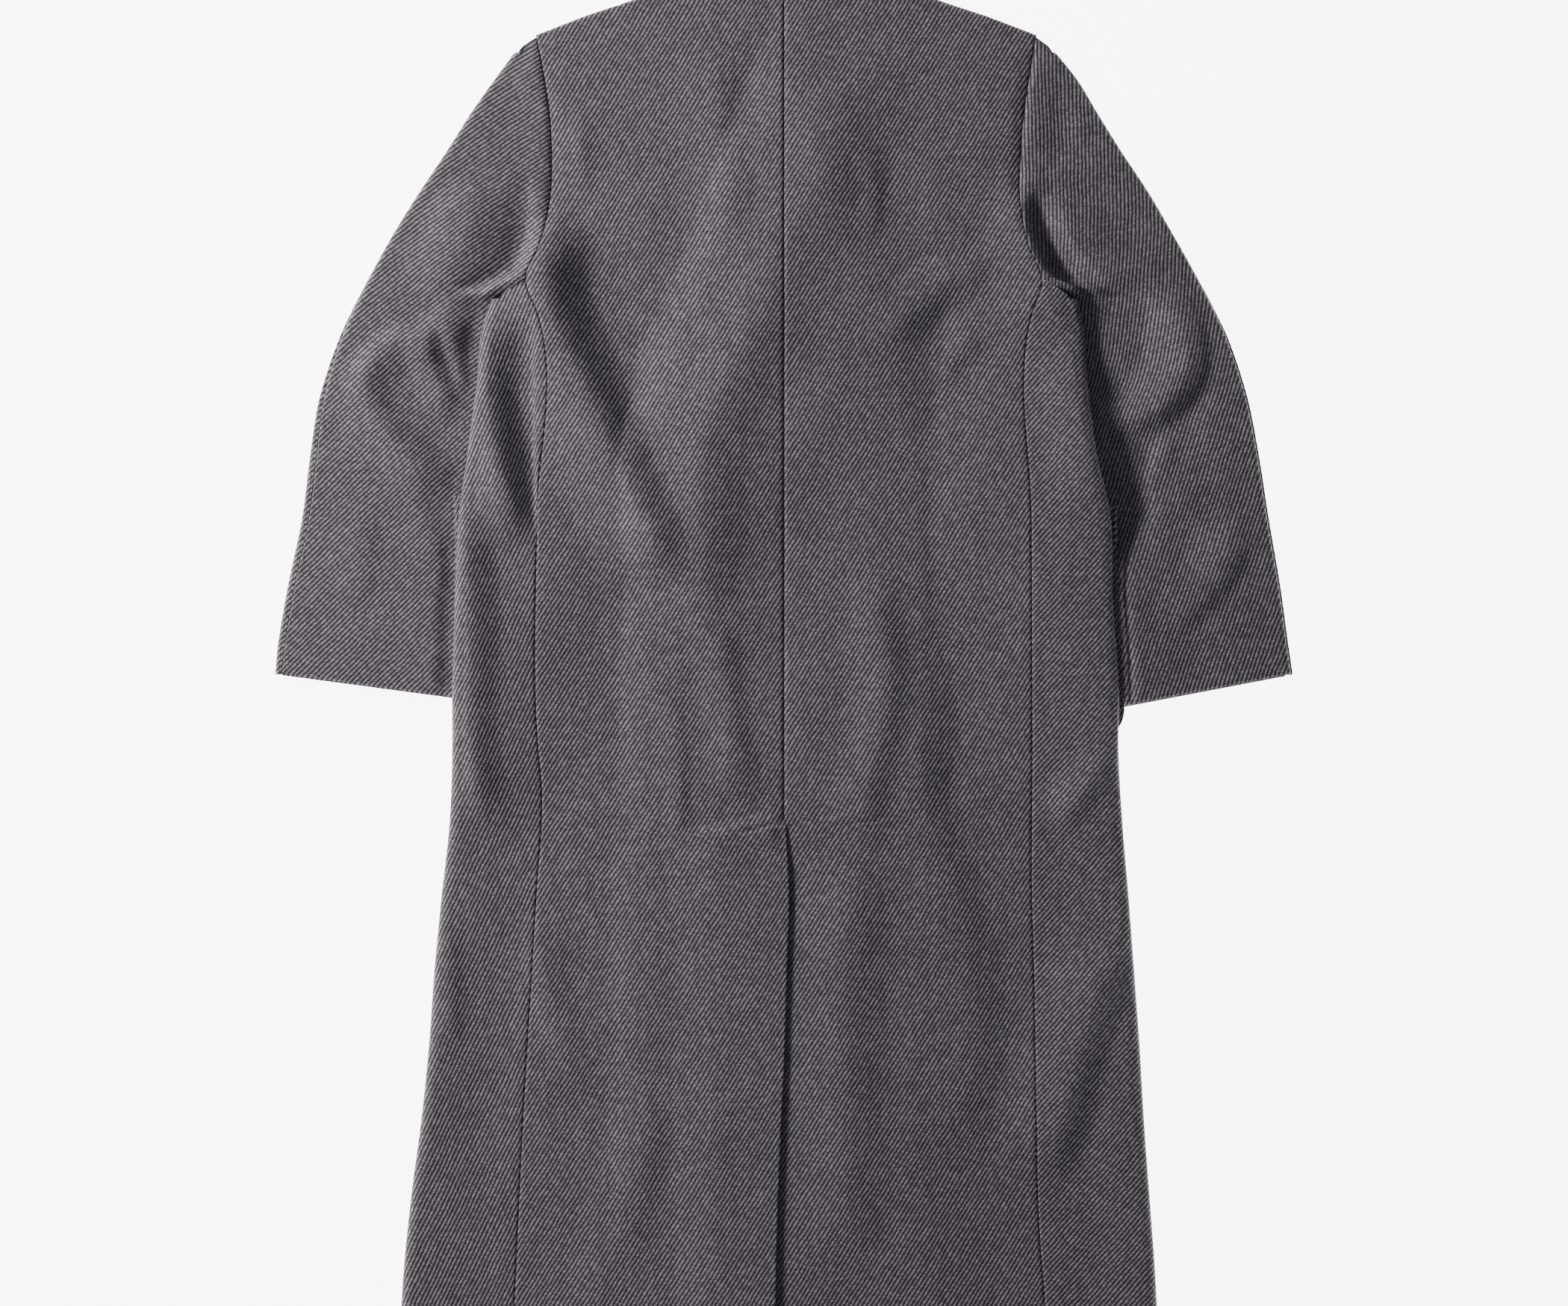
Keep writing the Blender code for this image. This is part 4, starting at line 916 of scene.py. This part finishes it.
def back_grid(side):
    """Rows of one back panel: the upper ones follow the neckline and the shoulder."""
    share = shares(226.0, 3.6)
    top = np.interp(share, SHOULDER["share"], SHOULDER["drop"])
    rows = []
    for edge_drop in spread(ARMHOLE_DROPS[0], UNDERARM, 3.8)[:-1]:
        down = (edge_drop - ARMHOLE_DROPS[0]) / (UNDERARM - ARMHOLE_DROPS[0])
        edge = read(BACK_EDGE, HAND[side], edge_drop) - SEAM / 2
        rows.append(row_at(SEAM / 2 + (edge - SEAM / 2) * share, top + (UNDERARM - top) * down))
    # The rows stand closest where the vent begins, 2 mm above and below its top
    fine = 1.2 * np.arange(9)
    closed = np.concatenate([np.linspace(UNDERARM, VENT_TOP - 14, 122), VENT_TOP - 2 - fine[::-1]])
    opened = VENT_TOP + 2 + np.concatenate([fine, 10 + spread(0.0, HEM - VENT_TOP - 12, 3.9)[2:]])
    for level in np.concatenate([closed, opened]):
        edge = read(BACK_EDGE, HAND[side], level) - SEAM / 2
        inner = SEAM / 2
        slant = 0.0
        if level > VENT_TOP and side < 0:
            inner = -read(VENT_EDGE, "across", level)
        elif level > VENT_TOP:
            inner = -VENT_UNDERLAP
            slant = VENT_SLANT * max(1 - (level - VENT_TOP) / 60, 0)
        out = inner + (edge - inner) * share
        rows.append(row_at(out, level + slant * np.maximum(-out, 0)))
    return np.array(rows) * (side, 1)


for side, hand in HAND.items():
    flat = back_grid(side)
    across, drop = flat[..., 0], flat[..., 1]
    height = back_top(across, drop)
    if side < 0:
        height = height + vent_lift(across, drop)
    centre_seam = np.clip(1 - np.abs(across) / SEAM_REACH, 0, 1) ** 3 * (drop < VENT_TOP)
    height = height - CENTRE_SEAM_DEPTH * (centre_seam * rises(drop, 12, 16))
    lay("back_" + hand, np.dstack([flat, height]), (5, 1), sewn="RT", seam_depth=1.5)


# Side panels. One under each arm, sewn to the back along the fine groove and to the front below;
# the cloth turns softly over the coat's side edge and runs on for a hand's breadth underneath.

SIDE_ROLL = 10.0
GRAIN_TILT = {-1: 6, 1: -9}

angles = np.radians((72, 54, 36, 18, 0, -18, -36, -54, -72))
for side, hand in HAND.items():
    rows = []
    cuts = []
    for level in spread(UNDERARM, HEM, 4.0):
        scoop = SCOOP * ease(1 - (level - UNDERARM) / 75)
        seam = read(BACK_EDGE, hand, level) + SEAM / 2
        turn = read(SIDE_EDGE, hand, level + scoop)
        front_seam = turn - SIDE_TURN
        above = seam + (turn - SIDE_ROLL - seam) * shares(80.0, 3.2)
        below = np.linspace(turn - SIDE_ROLL, front_seam, 16)
        above_drop = level + scoop * ease((above - seam) / (turn - seam))
        below_drop = level + scoop * ease((below - front_seam) / (turn - front_seam))
        top = back_top(side * above, above_drop)
        low = side_under(side, side * below, below_drop)
        half = (top[-1] - low[0]) / 2
        out = np.concatenate([above, turn - SIDE_ROLL + SIDE_ROLL * np.cos(angles), below])
        height = np.concatenate([top, low[0] + half + half * np.sin(angles), low])
        drop = np.concatenate([above_drop, np.full(len(angles), level + scoop), below_drop])
        rows.append(np.stack([side * out, drop, height], axis=1))
        # The cut is the flattened panel, turned so that its twill runs as on the coat
        beside = side * (seam + distances(np.stack([out, height], axis=1)))
        tilt = math.radians(GRAIN_TILT[side])
        cuts.append(np.stack([beside * math.cos(tilt) - drop * math.sin(tilt),
                              -beside * math.sin(tilt) - drop * math.cos(tilt)], axis=1) * MM)
    lay("side_" + hand, np.array(rows), (4, 1), sewn="LR", uv=np.array(cuts))


# Sleeves. Each is made of a front and a hind half, set into the armhole and lying flattened beside
# the coat. The hind half is uppermost; its seam runs just above the outer edge. Plain hemmed cuffs.

SLEEVE_ROLL = 7.5
HEM_PEEK = 1.4
SEAM_TURN = 2.0
SLEEVE_TUCK = 1.5
ARM_FROM_EDGE = 6
# Width over which the top comes down from the armhole to the sleeve's own height
SLOPE = 42
SLOPE_MORE_ABOVE = 28
SLOPE_LESS_BELOW = 29
# Distance from the armhole or the body's edge at which the folds have their whole height
FOLDS_FROM = 14
FOLDS_NEARER = 8
FOREARM = 480
SLEEVE_FOLDS = {-1: (
    fold(-4.0, 22, 9, (-236, 160), (-238, 236), (-249, 262), (-272, 282), (-310, 303)),
    fold(6.6, 60, 42, (-284, 176), (-290, 232), (-306, 262), (-336, 290)),
    fold(5.2, 34, 20, (-412, 376), (-386, 353), (-364, 335), (-350, 326), (-334, 325), (-312, 315),
         (-262, 303)),
    fold(4.2, 26, 14, (-330, 312), (-323, 345), (-311, 372), (-296, 400)),
    fold(3.8, 14, 16, (-308, 306), (-297, 344), (-287, 370), (-278, 396)),
    fold(4.6, 40, 22, (-392, 330), (-378, 380), (-362, 406), (-338, 432), (-286, 462)),
    fold(-2.4, 36, 40, (-350, 335), (-336, 370), (-310, 430), (-290, 450)),
    fold(1.6, 26, 20, (-392, 470), (-384, 520), (-392, 570)),
), 1: (
    fold(-9.0, 16, 13, (229, 180), (237, 236), (252, 268), (282, 294), (340, 316)),
    fold(5.5, 40, 12, (366, 316), (350, 296), (330, 283), (306, 273), (282, 260), (264, 238),
         (254, 212), (250, 176)),
    fold((9, 15), (60, 72), (20, 26), (346, 256), (362, 300), (368, 335), (364, 362), (348, 382),
         (322, 397), (285, 411), (230, 424)),
    fold(-9.0, 36, 90, (290, 268), (304, 314), (310, 350), (302, 384), (282, 406)),
    fold((-14, -3), 34, (56, 30), (284, 374), (296, 398), (306, 426), (312, 455), (312, 490),
         (310, 530)),
    fold(5.0, 30, 60, (309, 490), (313, 560), (319, 620), (326, 710)),
    fold(5.0, 40, 18, (412, 470), (404, 530), (384, 560), (336, 594)),
    fold(3.0, 16, 18, (352, 415), (337, 446), (328, 488)),
    fold(2.4, 16, 14, (292, 84), (276, 120), (268, 156)),
    fold(2.2, 20, 14, (330, 168), (286, 174), (236, 172)),
)}
# The line that the cloth's length follows down each sleeve
GRAIN = {
    -1: ((225, 50), (269, 150), (309, 250), (342, 340), (368, 430), (393, 530), (420, 640), (440, 720)),
    1: ((225, 50), (292, 150), (354, 250), (396, 340), (420, 430), (443, 530), (466, 640), (483, 720)),
}


def grain_cut(side, out, drop):
    """The cut of a bent sleeve: how far beside its grain line and along it each point lies."""
    _, beside, along, _ = beside_path(smooth_path(GRAIN[side], 160), out, drop, before=40.0)
    return np.dstack([side * beside, -along]) * MM


for side, hand in HAND.items():
    sleeve = SLEEVES[side]
    number = range(len(sleeve["in_drop"]))
    place = np.linspace(0, number[-1], 170)
    at = {name: curve_through(number, column, place)[:, None] for name, column in sleeve.items()}
    in_drop, in_out = (np.interp(place, number, sleeve[name])[:, None] for name in ("in_drop", "in_out"))
    in_out = np.where(in_drop < UNDERARM - 2, read(BACK_EDGE, hand, in_drop), in_out - SLEEVE_TUCK)
    length = at["out_out"] - in_out
    roll = np.minimum(SLEEVE_ROLL, 0.4 * length)
    inner_out = in_out + SEAM * falls(in_drop, 287, 8)

    def across_sleeve(share):
        """Out and drop of points between the inner edge and the roll of the outer one."""
        out = inner_out + (at["out_out"] - roll - inner_out) * share
        return out, in_drop + (at["out_drop"] - in_drop) * (out - in_out) / length

    def turned(angle):
        """Points on the roll of the outer edge, from 90 degrees on top to -90 underneath."""
        c, s = np.cos(np.radians(angle)), np.sin(np.radians(angle))
        return np.dstack([at["out_out"] - roll + roll * c, at["out_drop"] + 0 * c, half + half * s])

    # The top starts at the back's height along the armhole and sinks under the body below the arm
    out, drop = across_sleeve(shares(150.0, 3.0)[None, :])
    below_arm = rises(in_drop, 262, 32)
    sunk = ease((in_drop - 278 + 2 * side) / 18)
    at_seam = back_top(side * in_out, in_drop) * (1 - sunk) + STRIP_TOP * sunk
    edge = read(SIDE_EDGE, hand, drop)
    beyond = (out - in_out) * (1 - below_arm) + (out - edge - ARM_FROM_EDGE) * below_arm
    slope = SLOPE + SLOPE_MORE_ABOVE * (1 - below_arm) * (1 - 1.9 * rises(in_drop, 160, 50))
    slope = slope - SLOPE_LESS_BELOW * rises(in_drop, FOREARM, 50)
    folded = fold_height(SLEEVE_FOLDS[side], side * out, drop) + unevenness(out, drop, 0.5, 60, 7 + side)
    reach = FOLDS_FROM - FOLDS_NEARER * rises(in_drop, 185, 30) * (1 - below_arm)
    reach = reach - FOLDS_NEARER * rises(in_drop, FOREARM, 30)
    folded = folded * ease((at["out_out"] - out) / 40) * ease(beyond / reach)
    # A low ridge runs beside the upper armhole, where the sleeve head is eased in
    head = (1.9 + 0.5 * side) * rises(beyond, -1, 7) * (1 - rises(beyond, 9, 26))
    head = head * rises(in_drop, 55, 30) * ease((226 - 12 * side - in_drop) / 28)
    top = at_seam + (at["height"] - at_seam) * ease(beyond / slope) + folded + head
    above = np.dstack([out, drop, np.maximum(top, STRIP_TOP)])

    half = at["height"] / 2
    hind_turn = at["seam_angle"] + SEAM_TURN - 90
    hind = np.concatenate([above, turned(90 + hind_turn * np.linspace(0, 1, 7)[None, 1:])], axis=1)
    out, drop = across_sleeve(np.linspace(1, 0, 30)[None, :])
    low = np.dstack([out, drop, 0 * out])
    front_turn = -90 - at["seam_angle"] + SEAM_TURN
    turn_angle = at["seam_angle"] - SEAM_TURN + front_turn * np.linspace(0, 1, 11)[None, :-1]
    front = np.concatenate([turned(turn_angle), low], axis=1)
    front[..., 1] += HEM_PEEK * rises(place[:, None], 13.2, 0.8)
    lay("sleeve_hind_" + hand, hind * (side, 1, 1), (3, 1), sewn="LRT",
        uv=grain_cut(side, hind[..., 0], hind[..., 1]))
    lay("sleeve_front_" + hand, front * (side, 1, 1), (-4, -1), sewn="RL",
        uv=grain_cut(side, front[..., 0], front[..., 1]))


# Stitches. The pockets, their flaps and the fronts are topstitched near the edge in grey thread; a
# short slanting row holds the top of the vent, and close stitches bind the four buttonholes.

def stitch_tree():
    """Geometry Nodes: one small lozenge of thread for each step along a path of edges."""
    tree = bpy.data.node_groups.new("row_of_stitches", "GeometryNodeTree")
    face = tree.interface
    face.new_socket("Path", in_out="INPUT", socket_type="NodeSocketGeometry")
    for name in ("Step", "Length", "Thickness", "Turn"):
        face.new_socket(name, in_out="INPUT", socket_type="NodeSocketFloat")
    face.new_socket("Thread", in_out="INPUT", socket_type="NodeSocketMaterial")
    face.new_socket("Stitches", in_out="OUTPUT", socket_type="NodeSocketGeometry")

    node = partial(add_node, tree)
    given = node("NodeGroupInput").outputs
    curve = node("GeometryNodeMeshToCurve", [("Mesh", given["Path"])])
    spaced = [("Curve", curve.outputs["Curve"]), ("Length", given["Step"])]
    even = node("GeometryNodeResampleCurve", spaced, mode="LENGTH")
    points = node("GeometryNodeCurveToPoints", [("Curve", even.outputs["Curve"])], mode="EVALUATED")
    bead = node("GeometryNodeMeshUVSphere", [("Segments", 6), ("Rings", 5), ("Radius", 0.5)])
    aside = node("ShaderNodeCombineXYZ", [("X", 0.0), ("Y", given["Turn"]), ("Z", 0.0)])
    measures = [("X", given["Thickness"]), ("Y", given["Thickness"]), ("Z", given["Length"])]
    size = node("ShaderNodeCombineXYZ", measures)
    turns = [("Rotation", points.outputs["Rotation"]), ("Rotate By", aside.outputs["Vector"])]
    spin = node("FunctionNodeRotateRotation", turns, rotation_space="LOCAL")
    placed = node("GeometryNodeInstanceOnPoints", [
        ("Points", points.outputs["Points"]), ("Instance", bead.outputs["Mesh"]),
        ("Rotation", spin.outputs["Rotation"]), ("Scale", size.outputs["Vector"])])
    real = node("GeometryNodeRealizeInstances", [("Geometry", placed.outputs["Instances"])])
    bare = ("Geometry", real.outputs["Geometry"])
    dressed = node("GeometryNodeSetMaterial", [bare, ("Material", given["Thread"])])
    node("NodeGroupOutput", [("Stitches", dressed.outputs["Geometry"])])
    return tree


STITCHES = stitch_tree()


def sew(name, paths, step=3.5, length=2.7, thickness=0.6, turn=0.0):
    """A row of stitches along each path of (across, drop, height) points, in one piece."""
    points = []
    edges = []
    for path in paths:
        edges += [(len(points) + i, len(points) + i + 1) for i in range(len(path) - 1)]
        points += list(in_metres(path))
    path_object = put_mesh(name + "_path", points, edges, [])
    rule = path_object.modifiers.new("stitches", "NODES")
    rule.node_group = STITCHES
    values = {"Step": step * MM, "Length": length * MM, "Thickness": thickness * MM,
              "Turn": turn, "Thread": THREAD}
    for item in STITCHES.interface.items_tree:
        if item.name in values:
            rule[item.identifier] = values[item.name]
    made = bpy.data.meshes.new_from_object(path_object.evaluated_get(bpy.context.evaluated_depsgraph_get()))
    bpy.data.objects.remove(path_object)
    made.name = name
    piece = put(name, made)
    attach(piece, "root")


def resampled(points, step):
    points = np.array(points, float)
    place = distances(points)
    at = np.linspace(0, place[-1], max(int(place[-1] / step), 2))
    return [np.interp(at, place, column) for column in points.T]


def patch_line(side, outer, inner, top, bottom, corner, inset):
    """Three sides of a patch, a little inside its edge."""
    turn = corner - inset
    points = [(side * (outer - inset), top)]
    for way, edge in ((-1, outer - inset), (1, inner + inset)):
        angles = np.radians(np.linspace(0, 90, 7))
        if way > 0:
            angles = angles[::-1]
        for a in angles:
            out = edge + way * turn * (1 - math.cos(a))
            points.append((side * out, bottom - inset - turn * (1 - math.sin(a))))
    points.append((side * (inner + inset), top))
    return points


def buttonhole(across, drop, length):
    """The loop that binds a worked buttonhole, with a round eye at its outer end."""
    side = 1 if length > 0 else -1
    size = abs(length)
    loop = [(across + side * t, drop - 1.3) for t in np.linspace(0, size - 3, 6)]
    for a in np.radians(np.linspace(-130, 130, 9)):
        loop.append((across + side * (size - 1.5 + 2.3 * math.cos(a)), drop + 2.3 * math.sin(a)))
    return loop + [(across + side * t, drop + 1.3) for t in np.linspace(size - 3, 0, 6)]


def sew_on(name, line, apart, height, **thread):
    """One row along a line of (across, drop) points, at the height that a function gives there."""
    x, d = resampled(line, apart)
    sew(name, [list(zip(x, d, height(x, d)))], **thread)


STITCH_INSET = 6.0
FRONT_STITCHES = (440, 1236)
HOLE_LENGTH = 27
HOLE_FROM_BUTTON = 12
LAPEL_HOLE = (-88, 150, -24)
VENT_ROW = ((-44, 775), (-20, 771), (-1.5, 766.5))
BOUND = dict(step=0.75, length=2.4, thickness=0.62, turn=math.pi / 2)

for side, hand in HAND.items():
    p = POCKETS[side]
    outer = p["outer_bottom"] - 0.4
    line = patch_line(side, outer, outer - p["width"], p["top"] + 6, p["bottom"], POCKET_CORNER, STITCH_INSET)
    sew_on("pocket_stitches_" + hand, line, 3.0, partial(pocket_under, side))
    outer, inner, _, bottom = flap_box(side)
    line = patch_line(side, outer, inner, p["top"] + 2, bottom, FLAP_CORNER, STITCH_INSET)
    sew_on("flap_stitches_" + hand, line, 3.0, partial(sleeve_under, side))
    out = side * (STITCH_INSET - FRONT_OVERLAP)
    sew_on("front_stitches_" + hand, [(out, drop) for drop in FRONT_STITCHES], 3.0, FRONT_UNDER[side])

paths = []
for drop in BUTTON_DROPS:
    x, d = resampled(buttonhole(BUTTON_OUT - HOLE_FROM_BUTTON, drop, HOLE_LENGTH), 0.7)
    paths.append(list(zip(x, d, left_front_under(x, d))))
sew("buttonholes_front", paths, **BOUND)
sew_on("buttonhole_lapel", buttonhole(*LAPEL_HOLE), 0.7, lambda x, d: 0 * x + 0.1, **BOUND)
sew_on("vent_stitches", VENT_ROW, 2.0, lambda x, d: back_top(x, d) + vent_lift(x, d) - 0.15,
       step=3.4, length=2.5, thickness=0.7)

threads = []
for number, (side, drop) in enumerate(BUTTON_PLACES, 1):
    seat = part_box("button_%d" % number)[0][2] / MM + 1.75
    across = side * BUTTON_OUT
    for way in (-1, 1):
        threads.append([(across - HOLE_OFFSET, drop - HOLE_OFFSET * way, seat), (across, drop, seat - 0.7),
                        (across + HOLE_OFFSET, drop + HOLE_OFFSET * way, seat)])
sew("button_thread", threads, step=0.7, length=1.5, thickness=1.0)
